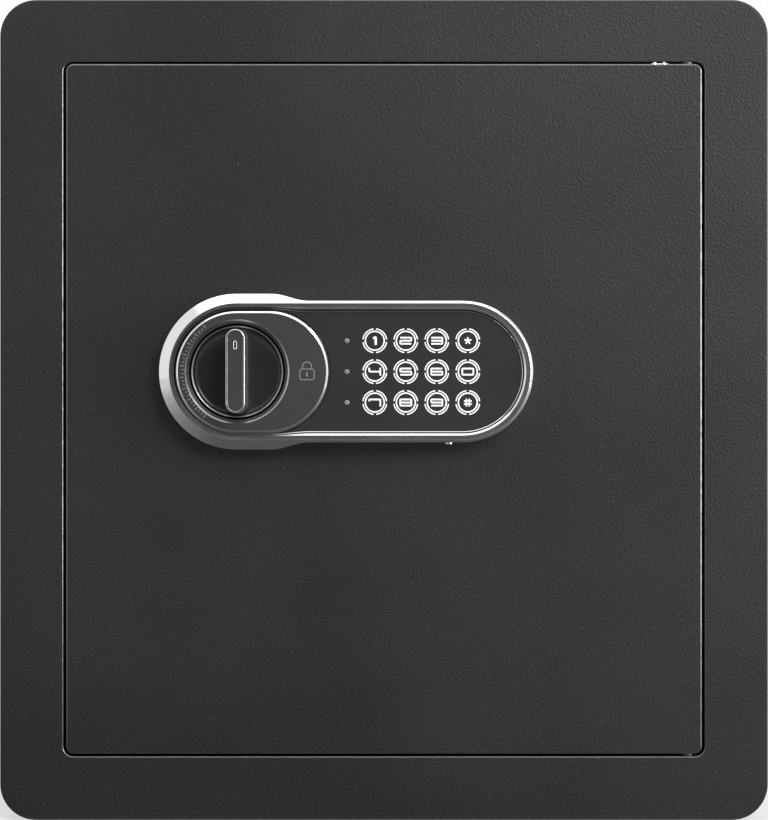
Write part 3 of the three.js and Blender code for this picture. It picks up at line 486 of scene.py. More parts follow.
# Lock jamb, hinge blocks and shelf
# Folded and cut steel parts, spot-welded inside the body and sprayed with a smooth dark coat.
# The jamb takes the bolts, and the shelf lies loose on two rails.
def softened(name, cad_name, material, body, width=0.4):
    """A copy of a CAD node, merged into flat faces, with its sharp edges rounded."""
    piece = bpy.data.objects.new(name, bpy.data.meshes.new(name))
    scene.collection.objects.link(piece)
    shape = bmesh.new()
    shape.from_mesh(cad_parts[cad_name].data)
    bmesh.ops.remove_doubles(shape, verts=shape.verts, dist=0.001 * MM)
    bmesh.ops.dissolve_limit(shape, angle_limit=np.radians(0.5), verts=shape.verts, edges=shape.edges)
    for face in shape.faces:
        face.smooth = True
        face.material_index = 0
    shape.to_mesh(piece.data)
    shape.free()
    if "custom_normal" in piece.data.attributes:
        piece.data.attributes.remove(piece.data.attributes["custom_normal"])
    piece.data.materials.append(material)
    rounding = piece.modifiers.new("rounding", "BEVEL")
    rounding.width = width * MM
    rounding.segments = 2
    rounding.angle_limit = np.radians(40.0)
    rounding.harden_normals = True
    settle(piece)
    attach(piece, body)
    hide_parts(cad_name)
    return piece


def grained(material, grain, low, high, depth, strength):
    """Lets a fine grain change a material's roughness, from low to high, and stand up from it."""
    feed(material, ranged(material, grain, 0.3, 0.7, low, high), "Roughness")
    feed(material, relief(material, grain, depth, strength), "Normal")


inner_paint = finish("inner_paint", shade(46, 45, 47), 0.55, specular=0.3)
inner_place = object_place(inner_paint)
inner_speckle = noise(inner_paint, inner_place, 2600.0, 2.0, 0.7)
inner_cloud = ranged(inner_paint, noise(inner_paint, inner_place, 7.0), 0.35, 0.65, 0.0, 1.0)
feed(inner_paint, blended(inner_paint, inner_cloud, shade(42, 41, 43), shade(50, 49, 51)), "Base Color")
grained(inner_paint, inner_speckle, 0.46, 0.62, 0.05, 0.6)
inside_pieces = {"jamb_strip": "lock_jamb", "hinge_block_upper": "hinge_block_top",
                 "hinge_block_lower": "hinge_block_bottom", "shelf_tray": "shelf",
                 "shelf_rail_l": "shelf_rail_left", "shelf_rail_r": "shelf_rail_right"}
for name, cad_name in inside_pieces.items():
    width = 0.6 if cad_name == "shelf" else 0.4
    softened(name, cad_name, inner_paint, "cabinet", width)


# Floor mat
# A die-cut sheet of 2 mm felt lies loose on the floor, over the anchor holes. Its fibres run
# every way and stand up as a soft nap.
mat_felt = finish("mat_felt", shade(44, 44, 48), 0.95, specular=0.1)
felt_hair = noise(mat_felt, object_place(mat_felt, (1.0, 0.35, 1.0)), 2400.0, 4.0, 0.75)
felt_flock = ranged(mat_felt, noise(mat_felt, object_place(mat_felt), 130.0, 3.0), 0.35, 0.65, 0.0, 1.0)
feed(mat_felt, blended(mat_felt, felt_flock, shade(37, 37, 41), shade(54, 54, 59)), "Base Color")
feed(mat_felt, relief(mat_felt, felt_hair, 0.35, 0.8), "Normal")
mat_felt.node_tree.nodes["Principled BSDF"].inputs["Sheen Weight"].default_value = 0.35
mat_centre_y = 39.5


def mat_ring(radius, z):
    """The mat's outline at one radius, lying at one height."""
    flat = ring(rectangle_path(-170.0, 170.0, -135.5, 135.5, 3.0, 8), radius, 0.0)
    return np.stack((flat[:, 0], flat[:, 2] + mat_centre_y, np.full(len(flat), z)), axis=1)


mat_edge = eased([(3.0, 2.0), (3.0, 4.0), (1.0, 4.0)], [0.7], 3)
mat = fit("floor_felt", [skin([mat_ring(radius, z) for radius, z in mat_edge])],
          [mat_felt], "cabinet", "felt", "floor_mat")


# Hinge
# Two hardened steel pins with thin collars turn in the frame, top and bottom. Beside the upper
# one a small bright spring clip with two domed bumps sits on the door's edge.
def turned(profile, centre, axis="y", count=48, finish=0):
    """A shape turned about a line through a centre: each point (radius, along) of the profile goes
    once round as centre + along * axis + radius * (cos t, sin t) across it. Flat ends close it."""
    first, second, third = {"x": (1, 2, 0), "y": (2, 0, 1), "z": (0, 1, 2)}[axis]
    profile = np.array(profile, float)
    t = np.linspace(0.0, 2 * np.pi, count, endpoint=False)
    rings = np.empty((len(profile), count, 3))
    rings[..., first] = centre[first] + profile[:, :1] * np.cos(t)
    rings[..., second] = centre[second] + profile[:, :1] * np.sin(t)
    rings[..., third] = centre[third] + profile[:, 1:]
    return skin(rings, finish=finish)


def metal(name, colour, roughness, streak, scale, wear):
    """A bare metal with fine streaks along one axis and cloudy changes in its gloss."""
    material = finish(name, colour, roughness, metallic=1.0)
    lines = noise(material, object_place(material, streak), scale, 3.0, 0.6)
    cloud = noise(material, object_place(material), 60.0, 2.0)
    both = node(material, "Math", {0: lines, 1: cloud}, operation="ADD").outputs[0]
    feed(material, ranged(material, both, 0.7, 1.3, roughness - wear, roughness + wear), "Roughness")
    feed(material, relief(material, lines, 0.01, 0.4), "Normal")
    return material


dark_steel = metal("dark_steel", shade(84, 82, 82), 0.42, (1.0, 1.0, 0.08), 3000.0, 0.08)
bright_steel = metal("bright_steel", shade(208, 208, 206), 0.26, (0.1, 1.0, 1.0), 3000.0, 0.08)
pin_ends = {"upper": ("hinge_pin_top", 360.0, 385.2), "lower": ("hinge_pin_bottom", 21.8, 47.0)}
for side, (cad_name, low, high) in pin_ends.items():
    collar = 374.2 if side == "upper" else 31.8
    pin = eased([(0.4, low), (2.5, low), (2.5, collar), (3.2, collar), (3.2, collar + 1.0),
                 (2.5, collar + 1.0), (2.5, high), (0.4, high)], [0.5, 0.0, 0.2, 0.2, 0.0, 0.5], 4)
    fit(f"hinge_pin_{side}", [turned(pin, (hinge_x, hinge_y, 0.0), "z", 40)],
        [dark_steel], "door", "zinc_steel", cad_name)
clip_path = rectangle_path(132.25, 140.75, 373.7, 374.45, 0.2, 4, 0.1)
clip_strip = carried(clip_path, [(0.2, -149.5), (0.2, -151.5)])
dome_profile = eased([(0.85, -149.6), (0.9, -150.5), (0.85, -152.0), (0.2, -152.1)], [0.0, 0.4], 4)
clip_domes = [turned(dome_profile, (x, 0.0, 374.3), "y", 28) for x in (133.9, 138.6)]
clip_steel = metal("clip_steel", shade(240, 240, 238), 0.5, (0.1, 1.0, 1.0), 3000.0, 0.06)
fit("hinge_clip", [skin(clip_strip), *clip_domes], [clip_steel], "door", "zinc_steel", "hinge_pin_clip")


# Door pan and back cover
# A folded steel pan is spot-welded behind the door plate, and a cover with two rails for the
# battery lid closes it. Four pan-head screws with cross recesses hold the cover.
softened("pan_walls", "door_pan", inner_paint, "door")
softened("pan_cover", "door_back_cover", inner_paint, "door")

zinc_steel = metal("zinc_steel", shade(176, 176, 170), 0.34, (1.0, 1.0, 0.1), 2600.0, 0.1)
screw_profile = eased([(1.4, -4.0), (2.0, -3.4), (2.0, 3.9), (3.5, 3.9), (3.5, 4.9), (2.2, 6.1),
                       (0.5, 6.2)], [0.0, 0.0, 0.3, 0.5, 0.6], 4)
recess_y, recess_size = -103.9, 0.75
screw_places = [(-143.0, 354.0), (132.0, 354.0), (-143.0, 53.0), (132.0, 53.0)]
for number, (x, z) in enumerate(screw_places, 1):
    screw = fit(f"cover_screw_head_{number}", [turned(screw_profile, (x, -110.0, z), "y", 32)],
                [zinc_steel], "door", "zinc_steel", f"cover_screw_{number}")
    for across, up in ((2.0, 0.0), (0.0, 2.0)):
        drill(screw, rod((x - across, recess_y, z - up), (x + across, recess_y, z + up), recess_size, 4))


# Batteries and their tray
# An open tray of black plastic behind the cover holds four AA cells, end to end with springs,
# and a lid with three thumb ribs slides down over them. The cells wear plain two-colour sleeves.
black_plastic = finish("black_plastic", shade(38, 37, 38), 0.48, specular=0.4)
plastic_grain = noise(black_plastic, object_place(black_plastic), 3200.0, 2.0, 0.6)
grained(black_plastic, plastic_grain, 0.4, 0.56, 0.03, 0.6)
softened("cell_tray", "battery_box", black_plastic, "door")
softened("cell_lid", "battery_lid", black_plastic, "battery_lid", 0.35)

cell_sleeve = finish("cell_sleeve", shade(40, 39, 41), 0.3)
along_cell = node(cell_sleeve, "SeparateXYZ", {"Vector": object_place(cell_sleeve)}).outputs["X"]
copper_end = ranged(cell_sleeve, along_cell, 0.0732, 0.0735, 0.0, 1.0)
sleeve_ripple = noise(cell_sleeve, object_place(cell_sleeve, (0.2, 1.0, 1.0)), 500.0)
feed(cell_sleeve, blended(cell_sleeve, copper_end, shade(40, 39, 41), shade(181, 120, 62)), "Base Color")
feed(cell_sleeve, ranged(cell_sleeve, sleeve_ripple, 0.3, 0.7, 0.24, 0.36), "Roughness")
cell_profile = eased([(5.0, 35.5), (7.25, 35.5), (7.25, 84.6), (3.0, 84.6), (2.6, 84.6), (2.6, 86.0),
                      (1.0, 86.0)], [0.5, 0.8, 0.0, 0.0, 0.3], 4)
middles = (cell_profile[1:] + cell_profile[:-1]) / 2
cell_bare = ((middles[:, 0] < 6.2) | (middles[:, 1] > 85.0)).astype(int)
cell_y, first_cell_z, cell_pitch = -115.75, 159.0, 15.5
for number in range(1, 5):
    centre = (0.0, cell_y, first_cell_z + cell_pitch * (number - 1))
    fit(f"cell_{number}", [turned(cell_profile, centre, "x", 40, np.append(cell_bare, (1, 1)))],
        [cell_sleeve, bright_steel], "door", "cell_sleeve", f"battery_{number}")


# Control board and reset button
# The lock's electronics sit on a green board on four bosses of the cover, and a soft rubber
# button in the cover reaches its reset switch.
circuit_board = finish("circuit_board", shade(30, 88, 56), 0.4)
board_place = object_place(circuit_board)
tracks = node(circuit_board, "TexBrick", {
    "Vector": board_place, "Scale": 260.0, "Mortar Size": 0.06, "Color1": shade(30, 88, 56),
    "Color2": shade(26, 80, 50), "Mortar": shade(52, 118, 78)}).outputs["Color"]
pads = node(circuit_board, "TexVoronoi", {"Vector": board_place, "Scale": 300.0}).outputs["Distance"]
solder = ranged(circuit_board, pads, 0.22, 0.18, 0.0, 1.0)
depth = node(circuit_board, "SeparateXYZ", {"Vector": board_place}).outputs["Y"]
on_parts = ranged(circuit_board, depth, -0.11575, -0.1157, 1.0, 0.0)
bare_board = blended(circuit_board, solder, tracks, shade(190, 188, 180))
feed(circuit_board, blended(circuit_board, on_parts, bare_board, shade(34, 34, 36)), "Base Color")
softened("lock_board", "control_board", circuit_board, "door", 0.2)

black_rubber = finish("black_rubber", shade(40, 40, 41), 0.8, specular=0.25)
rubber_dust = noise(black_rubber, object_place(black_rubber), 1800.0, 3.0, 0.7)
grained(black_rubber, rubber_dust, 0.7, 0.9, 0.03, 0.5)
button_profile = eased([(3.6, -112.0), (4.0, -112.0), (4.0, -109.5), (6.0, -109.5), (6.0, -108.3),
                        (4.0, -108.3), (4.0, -104.5), (0.6, -104.6)], [0.0, 0.0, 0.3, 0.0, 0.0, 0.9], 4)
fit("reset_cap", [turned(button_profile, (43.85, 0.0, 287.98))], [black_rubber],
    "reset_button", "black_rubber", "reset_button")


# Bolt work
# Two round steel bolts are riveted to the flange of a zinc-plated carriage that slides on two
# studs. The knob's spindle turns a cam whose crank pin drives the carriage.
softened("bolt_carriage_plate", "carriage_plate", zinc_steel, "bolt_carriage")
softened("carriage_studs", "carriage_guide", zinc_steel, "door")
softened("crank_cam", "drive_cam", zinc_steel, "knob", 0.3)
bolt_profile = eased([(7.0, -155.5), (8.0, -155.5), (9.0, -154.2), (9.0, -121.0), (7.0, -121.0)],
                     [0.4, 0.6, 0.0], 4)
for side, z in (("upper", 278.5), ("lower", 128.5)):
    fit(f"round_bolt_{side}", [turned(bolt_profile, (0.0, -131.0, z), "x", 64)],
        [bright_steel], "bolt_carriage", "zinc_steel", f"bolt_{side}")
spindle_profile = eased([(3.0, -169.7), (4.0, -169.7), (4.0, -125.2), (3.0, -125.2)], [0.4, 0.4], 3)
fit("knob_spindle", [turned(spindle_profile, (knob_x, 0.0, panel_z), "y", 40)],
    [zinc_steel], "knob", "zinc_steel", "spindle")


# Solenoid
# A coil in a bent steel yoke holds a steel plunger, and a wound spring under it pushes the
# plunger's collar down once the coil lets go.
softened("solenoid_yoke", "solenoid_body", zinc_steel, "door")
softened("lock_plunger_rod", "plunger", bright_steel, "lock_plunger", 0.3)
plunger_x, plunger_y = -84.05, -132.5
coil_low, coil_high = 302.3, 310.3
coil_turns, coil_radius, wire = 5.0, 5.5, 0.4
turn = np.linspace(0.0, 2 * np.pi * coil_turns, 200)[:, None]
middle = np.hstack((plunger_x + coil_radius * np.cos(turn), plunger_y + coil_radius * np.sin(turn),
                    coil_low + (coil_high - coil_low) * turn / turn[-1]))
outward = np.hstack((np.cos(turn), np.sin(turn), np.zeros_like(turn)))
around = np.linspace(0.0, 2 * np.pi, 10, endpoint=False)[None, :, None]
section = middle[:, None] + wire * (np.cos(around) * outward[:, None]
                                    + np.sin(around) * np.array((0.0, 0.0, 1.0)))
spring = fit("plunger_coil", [skin(section)], [bright_steel], None, "zinc_steel", "plunger_spring")
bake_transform(spring)


# Panel bezel
# One die-cast ring, polished and chrome-plated. Its flat crest lies between an outer slope, which
# spreads into a wide lip by the knob, and an inner one with a fine groove. By the knob the inner
# slope is satin, and its colour is painted dark there as a painted reflection; the groove's dark
# satin is painted shade.
chrome = finish("chrome", shade(224, 224, 227), 0.12, metallic=1.0)
clouded(chrome, 70.0, 0.09, 0.16)
feed(chrome, relief(chrome, noise(chrome, object_place(chrome), 45.0, 1.0), 0.015, 0.3), "Normal")
smoked_chrome = finish("smoked_chrome", shade(112, 110, 112), 0.2, metallic=1.0)
clouded(smoked_chrome, 70.0, 0.16, 0.26)


def satin(name, colour, roughness, specular):
    """Moulded plastic with a fine spark-eroded grain."""
    material = finish(name, colour, roughness, specular=specular)
    grain = noise(material, object_place(material), 4200.0, 2.0, 0.6)
    clouded(material, 30.0, roughness - 0.04, roughness + 0.04, 2.0)
    feed(material, relief(material, grain, 0.02, 0.5), "Normal")
    return material


# Dark satin painted where shade falls: in the bezel's groove, round the inside of the knob's recess and in
# the knob's slot.
painted_shade_black = satin("painted_shade_black", shade(28, 27, 28), 0.4, 0.2)
crest_left, crest_right, crest_radius = -72.5, 38.25, 32.75
end_steps, side_steps = 65, 40
arc = np.radians(np.linspace(-90.0, 90.0, end_steps))
between = np.linspace(0.0, 1.0, side_steps + 2)[1:-1]
crest_angle = np.concatenate((arc, np.full(side_steps, np.pi / 2),
                              arc + np.pi, np.full(side_steps, -np.pi / 2)))
crest_x = np.concatenate((
    np.full(end_steps, crest_right), crest_right + (crest_left - crest_right) * between,
    np.full(end_steps, crest_left), crest_left + (crest_right - crest_left) * between))
crest_path = (np.stack((crest_x, np.full(len(crest_x), panel_z)), axis=1),
              np.stack((np.cos(crest_angle), np.sin(crest_angle)), axis=1))
# The lip's width, edges and groove change from their values by the knob to those by the keys.
narrowing = np.clip((crest_x + crest_radius * np.cos(crest_angle) - knob_x - 17.0) / 17.5, 0.0, 1.0)
narrowing = narrowing ** 2 * (3.0 - 2.0 * narrowing)
lip = (5.5 + 0.4 * np.cos(crest_angle)) * (1.0 - narrowing) + 1.9 * narrowing
edge = 0.65 + 0.9 * np.cos(crest_angle) * (1.0 - narrowing)
crest_in = -1.3 - 0.3 * narrowing
slope_in = -1.5 - 1.0 * narrowing
line_out = -1.75 - 1.5 * narrowing
line_in = -2.4 - 1.1 * narrowing
crest, groove_top, groove_floor, base = 14.0, 12.75, 12.2, 12.03
bezel_corners = [(-2.0, 0.0), (-2.0, base), (line_in, base),
                 (line_in, groove_top - 0.9 * (line_out - line_in)), (line_out, groove_top),
                 (line_out + 0.05, groove_floor), (slope_in - 0.05, groove_floor),
                 (slope_in, crest - 0.7 * (crest_in - slope_in)), (crest_in, crest), (edge, crest),
                 (lip, crest - 0.87 * (lip - edge)), (lip, 0.0)]
bezel_levels = [np.stack(np.broadcast_arrays(lip * 0.0 + across, up), axis=1)
                for across, up in bezel_corners]
bezel_profile = eased(bezel_levels, [0.0, 0.0, 0.0, 0.05, 0.0, 0.0, 0.05, 0.1, 0.1, 0.2], 3)
bezel_rings = [ring(crest_path, crest_radius + level[:, :1], door_face) - level[:, 1:] * (0.0, 1.0, 0.0)
               for level in bezel_profile]
by_keys = bezel_profile[:, np.argmax(crest_x + crest_radius * np.cos(crest_angle))]
row_middle = (by_keys + np.roll(by_keys, -1, axis=0)) / 2
grooved = (row_middle[:, 0] > -3.23) & (row_middle[:, 0] < -2.48) & (row_middle[:, 1] > 12.1)
inner_slope = (row_middle[:, 0] < -1.4) & ~grooved
# By the knob the inner slope's colour is painted dark and satin, a painted reflection, and towards the keys
# it turns to chrome.
inner_chrome = finish("inner_chrome", shade(224, 224, 227), 0.12, metallic=1.0)
dim_fade_x = node(inner_chrome, "SeparateXYZ", {"Vector": object_place(inner_chrome)}).outputs["X"]
painted_dim_fade = ranged(inner_chrome, dim_fade_x, -0.056, -0.038, 0.0, 1.0)
feed(inner_chrome, blended(inner_chrome, painted_dim_fade, shade(66, 65, 66), shade(216, 216, 219)), "Base Color")
feed(inner_chrome, ranged(inner_chrome, painted_dim_fade, 0.0, 1.0, 0.35, 1.0), "Metallic")
inner_cloud = noise(inner_chrome, object_place(inner_chrome), 70.0, 3.0)
inner_cloud = ranged(inner_chrome, inner_cloud, 0.35, 0.65, 0.1, 0.18)
inner_rough = node(inner_chrome, "Mix", {"Factor": painted_dim_fade, "A": 0.4, "B": inner_cloud}, data_type="FLOAT")
feed(inner_chrome, inner_rough.outputs["Result"], "Roughness")
bezel_skin = skin(bezel_rings, loop=True, finish=np.where(grooved, 2, np.where(inner_slope, 1, 0)))
bezel = fit("panel_bezel", [bezel_skin], [chrome, inner_chrome, painted_shade_black],
            "door", "plated_plastic", "chrome_bezel", soft_angle=30.0)
jack_x, jack_y = 31.75, -159.65
drill(bezel, rod((jack_x, jack_y, 184.0), (jack_x, jack_y, 193.0), 2.15))


# Raised plate round the knob
# An oval plate of satin black plastic with a narrow shoulder and a polished, plated edge, outside
# and round its recess. The knob sits in the recess, whose floor the spindle passes.
plate_satin = satin("plate_satin", shade(54, 52, 54), 0.42, 0.3)
oval_side = np.linspace(-56.85, -72.05, 7)
straight = oval_side[1:-1]
oval_path = round_path((oval_side[0], panel_z, -90, 90, 40), *[(x, panel_z, 90, 90, 1) for x in straight],
                       (oval_side[-1], panel_z, 90, 270, 40),
                       *[(x, panel_z, 270, 270, 1) for x in straight[::-1]])
reach = outline(oval_path, 28.0) - (knob_x, panel_z)
recess_path = (np.tile((knob_x, panel_z), (len(reach), 1)),
               reach / np.linalg.norm(reach, axis=1, keepdims=True))
oval_outer = eased([(30.4, -154.5), (30.4, -163.3), (29.7, -163.35), (29.65, -164.45), (28.55, -165.0),
                    (27.6, -165.0)], [0.25, 0.05, 0.06, 0.1], 3)
oval_inner = eased([(26.6, -165.0), (25.5, -165.0), (24.8, -164.45), (23.5, -163.65), (23.4, -157.0),
                    (20.0, -157.0), (4.5, -157.0), (4.5, -154.5)], [0.1, 0.1, 0.2, 0.5, 0.0, 0.0], 3)
oval_rings = carried(oval_path, oval_outer) + carried(recess_path, oval_inner)
level = np.vstack((oval_outer, oval_inner))
step = np.roll(level, -1, axis=0) - level
inner_side = np.arange(len(level)) >= len(oval_outer)
slanted = (np.abs(step).min(axis=1) > 0.3) & (level[:, 1] < -164.0) & ~inner_side
# The recess's inner wall and floor get the dark satin of painted shade.
inside = inner_side & (level[:, 1] > -163.6)
shoulder = (level[:, 0] > 30.1) & (level[:, 1] < -163.0)
recess_edge = inner_side & (level[:, 0] < 25.55) & (level[:, 0] > 24.85)
oval_finish = np.select([recess_edge, shoulder, slanted, inside], [4, 3, 1, 2], 0)
dull_chrome = metal("dull_chrome", shade(182, 181, 184), 0.3, (1.0, 1.0, 1.0), 600.0, 0.05)
fit("oval_plate", [skin(oval_rings, loop=True, finish=oval_finish)],
    [plate_satin, chrome, painted_shade_black, smoked_chrome, dull_chrome],
    "door", "satin_black", "knob_plate", soft_angle=25.0)


# Knob
# A dished disc of glossy black with a thin plated rim, and across it a straight plated grip,
# round at both ends. A satin strip with a slot mark for the pointer is let into its top.
gloss_black = finish("gloss_black", shade(36, 35, 37), 0.14, specular=0.35)
clouded(gloss_black, 60.0, 0.1, 0.2)
dish = np.linspace(20.0, 0.8, 14)
disc_profile = eased([(6.0, -157.5), (22.5, -157.5), (22.5, -163.4), (22.4, -163.5), (21.7, -163.15),
                      (20.8, -161.9), *zip(dish, -160.5 - 1.1 * (dish / 20.0) ** 2)],
                     [0.3, 0.0, 0.0, 0.1, 0.1] + [0.0] * 13, 2)
disc_step = np.diff(disc_profile, axis=0)
rim = (np.abs(disc_step).min(axis=1) > 0.12) & (disc_profile[:-1, 0] > 21.7) & (disc_profile[:-1, 1] < -163.1)
disc = turned(disc_profile, (knob_x, 0.0, panel_z), "y", 96, np.append(rim, (False, False)).astype(int))
grip_path = round_path((knob_x, panel_z + 15.65, 0, 180, 24), (knob_x, panel_z - 15.65, 180, 360, 24))
grip_profile = eased([(5.3, -159.5), (4.6, -177.2), (4.6, -178.0), (3.7, -178.0), (3.7, -176.6),
                      (2.0, -176.6)], [0.2, 0.4, 0.1, 0.0], 4)
grip_finish = np.append(np.where(grip_profile[:-1, 1] > -177.3, 1, 2), (2, 2))
grip = skin(carried(grip_path, grip_profile), finish=grip_finish)
grip_side = finish("grip_side", shade(150, 149, 152), 0.42, metallic=1.0)
clouded(grip_side, 900.0, 0.36, 0.5, 2.0, (1.0, 1.0, 0.1))
fit("knob_grip", [disc, grip], [gloss_black, grip_side, chrome], "knob", "plated_plastic", "knob",
    soft_angle=30.0)

inlay_profile = eased([(3.6, -176.7), (3.6, -177.7), (2.6, -177.7)], [0.15], 3)
white_print = finish("white_print", shade(250, 250, 250), 0.5, specular=0.3)


def flecked(material, scale, dark, light):
    """Lets fine noise change a material's colour between two shades."""
    fleck = noise(material, object_place(material), scale)
    feed(material, blended(material, fleck, dark, light), "Base Color")


flecked(white_print, 5000.0, shade(238, 238, 238), shade(255, 255, 255))


def stroke(path, width, face, lift=0.03, loop=False):
    """A printed line of one width on a face. Its sides run half the width from the path, along
    the mitre (a + b) / (1 + a.b) of the two square directions that meet at each point."""
    path = np.array(path, float)
    along = np.diff(path, axis=0, append=path[:1]) if loop else np.diff(path, axis=0)
    along /= np.linalg.norm(along, axis=1, keepdims=True)
    across = np.stack((-along[:, 1], along[:, 0]), axis=1)
    before = np.roll(across, 1, axis=0) if loop else np.vstack((across[:1], across))
    after = across if loop else np.vstack((across, across[-1:]))
    mitre = (before + after) / (1.0 + (before * after).sum(axis=1, keepdims=True)) * width / 2
    sides = np.stack((path + mitre, path + mitre, path - mitre, path - mitre), axis=1)
    y = np.broadcast_to((face + 0.02, face - lift, face - lift, face + 0.02), sides.shape[:2])
    return skin(np.stack((sides[..., 0], y, sides[..., 1]), axis=2), loop=loop)


def painted(shell, number):
    """The shell with all its faces in one of its piece's materials, by number."""
    points, groups = shell
    return points, [(faces, np.full_like(finishes, number)) for faces, finishes in groups]


slot_z, inlay_top = 234.3, -177.7
slot_path = round_path((knob_x, slot_z + 1.2, 0, 180, 9), (knob_x, slot_z - 1.2, 180, 360, 9), support=0)
inlay = skin(carried(grip_path, inlay_profile))
slot_mark = painted(stroke(outline(slot_path, 0.7), 0.26, inlay_top, loop=True), 1)
# The slot's dark inside is painted shade.
slot_painted_shade = painted(stroke([(knob_x, slot_z + 1.8), (knob_x, slot_z - 1.7)], 1.1, inlay_top, 0.02), 2)
fit("grip_inlay", [inlay, slot_mark, slot_painted_shade], [plate_satin, white_print, painted_shade_black],
    "knob", "satin_black", "knob_inlay")


# Keypad face
# A satin black moulding fills the rest of the oval, with a hole for each key and lamp. Four
# short arcs are printed round every key.
face_satin = satin("face_satin", shade(40, 39, 40), 0.4, 0.25)
columns = knob_x + 67.25 + 15.15 * np.arange(4)
rows = panel_z + 15.1 * np.array((1, 0, -1))
lamp_x = knob_x + 53.6
face_front = -164.0
panel_path = round_path((crest_right, panel_z, -90, 90, 48), (crest_left, panel_z, 90, 270, 48))
face_profile = eased([(30.25, -162.0), (30.25, face_front), (29.0, face_front)], [0.35], 4)
keypad_face = fit("keypad_moulding", [skin(carried(panel_path, face_profile))],
                  [face_satin], "door", "satin_black", "keypad_face")
drill(keypad_face, skin([ring(oval_path, 30.7, y) for y in (-160.0, -166.0)]),
      *[rod((x, -160.0, z), (x, -166.0, z), 5.425, 56) for x in columns for z in rows],
      *[rod((lamp_x, -160.0, z), (lamp_x, -166.0, z), 1.65, 24) for z in rows])


# Keys
# Twelve round caps of the same black plastic stand in the face's holes on a rubber mat. Each has
# a white ring and a plain figure printed on its top.
cap_profile = eased([(4.8, -160.4), (5.825, -160.4), (5.825, -161.6), (5.125, -161.6), (5.125, -164.3),
                     (4.4, -164.3)], [0.0, 0.2, 0.0, 0.18], 3)
cap_top = -164.3
wide, high = 2.7, 1.5
bar_middle = [(-wide, 0.0), (wide, 0.0)]
box = [(0.0, high), (-wide, high), (-wide, -high), (wide, -high), (wide, high), (0.0, high)]
turn_end = np.radians(90.0 + 72.0 * np.arange(5))
figures = {
    "1": [[(-0.75, 1.05), (0.05, 1.6), (0.45, 1.6), (0.45, -2.05)]],
    "2": [[(-wide, high), (wide, high), (wide, 0.0), (-wide, 0.0), (-wide, -high), (wide, -high)]],
    "3": [[(-wide, high), (wide, high), (wide, -high), (-wide, -high)], bar_middle],
    "star": [[(0.0, 0.0), (1.75 * np.cos(a), 1.75 * np.sin(a))] for a in turn_end],
    "4": [[(-wide, high + 0.4), (-wide, 0.0), (wide, 0.0)], [(wide, high + 0.4), (wide, -high - 0.4)]],
    "5": [[(wide, high), (-wide, high), (-wide, 0.0), (wide, 0.0), (wide, -high), (-wide, -high)]],
    "6": [[(wide, high), (-wide, high), (-wide, -high), (wide, -high), (wide, 0.0), (-wide, 0.0)]],
    "0": [box],
    "7": [[(-wide, 0.6), (-wide, high), (wide, high), (wide, -high - 0.4)]],
    "8": [box, bar_middle],
    "9": [[(-wide, -high), (wide, -high), (wide, high), (-wide, high), (-wide, 0.0), (wide, 0.0)]],
    "hash": [[(s, -1.9), (s, 1.9)] for s in (-0.7, 0.7)] + [[(-1.9, s), (1.9, s)] for s in (-0.7, 0.7)],
}
layout = (("1", "2", "3", "star"), ("4", "5", "6", "0"), ("7", "8", "9", "hash"))
face_marks = []
gap_angle = 6.5
for row, names in zip(rows, layout):
    for column, name in zip(columns, names):
        centre = np.array((column, row))
        width = {"star": 0.75, "hash": 0.7, "1": 1.1}.get(name, 0.82)
        bend = 0.15 if name == "1" else 0.45
        lines = [eased(line, [bend] * (len(line) - 2), 3) + centre for line in figures[name]]
        marks = [stroke(line, width, cap_top, 0.03 + 0.005 * k) for k, line in enumerate(lines)]
        circle = outline(round_path((column, row, 0, 360, 49), support=0), 4.62)[:-1]
        marks.append(stroke(circle, 0.68, cap_top, loop=True))
        marks = [painted(mark, 1) for mark in marks]
        cap = turned(cap_profile, (column, 0.0, row), "y", 56)
        fit(f"key_cap_{name}", [cap, *marks], [face_satin, white_print],
            f"key_{name}", "satin_black", f"key_{name}")
        for quarter in (0.0, 90.0, 180.0, 270.0):
            bow = round_path((column, row, quarter + gap_angle, quarter + 90.0 - gap_angle, 15), support=0)
            face_marks.append(stroke(outline(bow, 5.78), 0.58, face_front))
fit("key_rings", face_marks, [white_print], "door", "satin_black")


# Lamps, power jack and printed marks
# One clear grey moulding ends in three lamp domes, and a plated collar under the panel takes
# emergency power. Beside the knob are fine ticks and a plain padlock, printed in dim grey.
lamp_grey = finish("lamp_grey", shade(118, 116, 118), 0.3)
flecked(lamp_grey, 900.0, shade(108, 106, 108), shade(128, 126, 128))
dome = np.radians(np.linspace(0.0, 84.0, 7))
lamp_profile = [(1.0, -158.0), (1.35, -158.0), *zip(1.35 * np.cos(dome), -163.7 - 0.5 * np.sin(dome))]
fit("signal_lamps", [turned(lamp_profile, (lamp_x, 0.0, z), "y", 28) for z in rows], [lamp_grey],
    "door", "lamp_grey", "led_light_pipe")

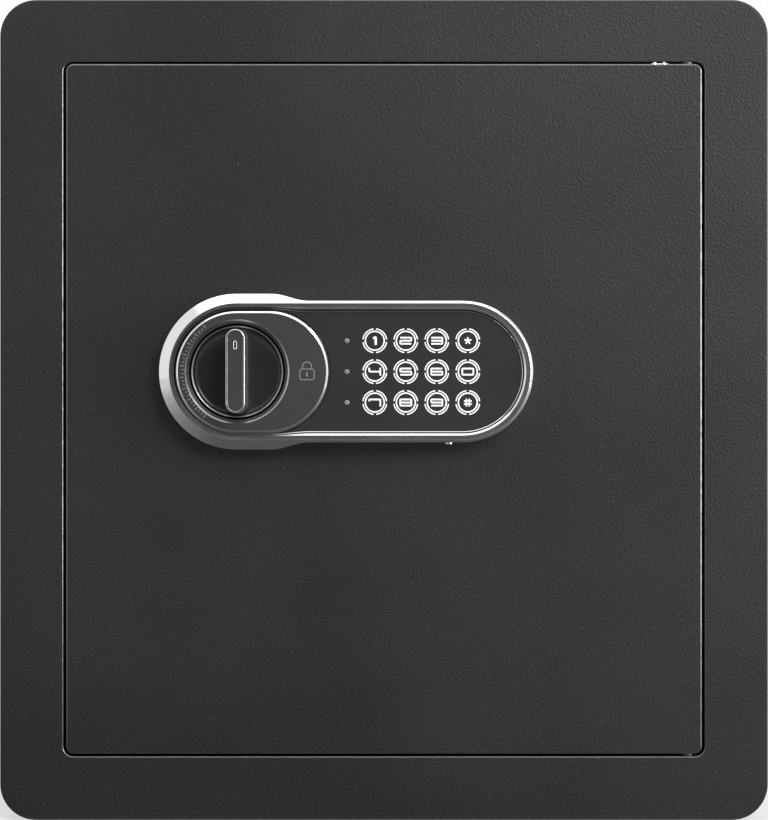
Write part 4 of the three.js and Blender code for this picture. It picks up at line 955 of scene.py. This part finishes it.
jack_profile = eased([(1.0, 191.0), (1.95, 191.0), (1.95, 186.1), (0.95, 186.1), (0.95, 189.0), (0.3, 189.0)],
                     [0.0, 0.25, 0.15, 0.0], 4)
fit("power_collar", [turned(jack_profile, (jack_x, jack_y, 0.0), "z", 36)], [bright_steel],
    "door", "zinc_steel", "power_jack")

dim_print = finish("dim_print", shade(128, 126, 128), 0.5, specular=0.3)
flecked(dim_print, 5000.0, shade(112, 110, 112), shade(142, 140, 142))
plate_front = -165.0
tick_angle = np.radians(np.arange(126.0, 236.0, 4.0))
tick_way = np.stack((np.cos(tick_angle), np.sin(tick_angle)), axis=1)
tick_end = np.where(np.arange(len(tick_angle)) % 3 == 0, 27.9, 27.2)[:, None]
hub = np.array((knob_x, panel_z))
tick_lines = np.stack((hub + 26.1 * tick_way, hub + tick_end * tick_way), axis=1)
ticks = [stroke(line, 0.5, plate_front) for line in tick_lines]
lock_x, lock_z = -37.6, 220.4
lock_path = rectangle_path(lock_x - 3.5, lock_x + 3.5, lock_z - 2.6, lock_z + 2.6, 1.2, 6)
shackle_turn = np.radians(np.linspace(0.0, 180.0, 15))
shackle = np.stack((lock_x + 2.2 * np.cos(shackle_turn), lock_z + 4.0 + 2.0 * np.sin(shackle_turn)), axis=1)
shackle = np.vstack(([(lock_x + 2.2, lock_z + 2.6)], shackle, [(lock_x - 2.2, lock_z + 2.6)]))
key_slot = [(lock_x, lock_z + 0.9), (lock_x, lock_z - 1.1)]
padlock = [stroke(outline(lock_path, 1.2), 0.45, plate_front, loop=True),
           stroke(shackle, 0.45, plate_front), stroke(key_slot, 0.7, plate_front)]
fit("panel_marks", [*ticks, *padlock], [dim_print], "door", "satin_black")


# Inside the panel
# The base tray, the keypad's board, the rubber mat under the keys and the flat cable to the
# lock's board keep their shapes and get their finish.
inside_finishes = {"panel_housing": black_plastic, "keypad_board": circuit_board, "key_mat": black_rubber,
                   "keypad_cable": black_rubber}
for cad_name, material in inside_finishes.items():
    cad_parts[cad_name].material_slots[0].material = material
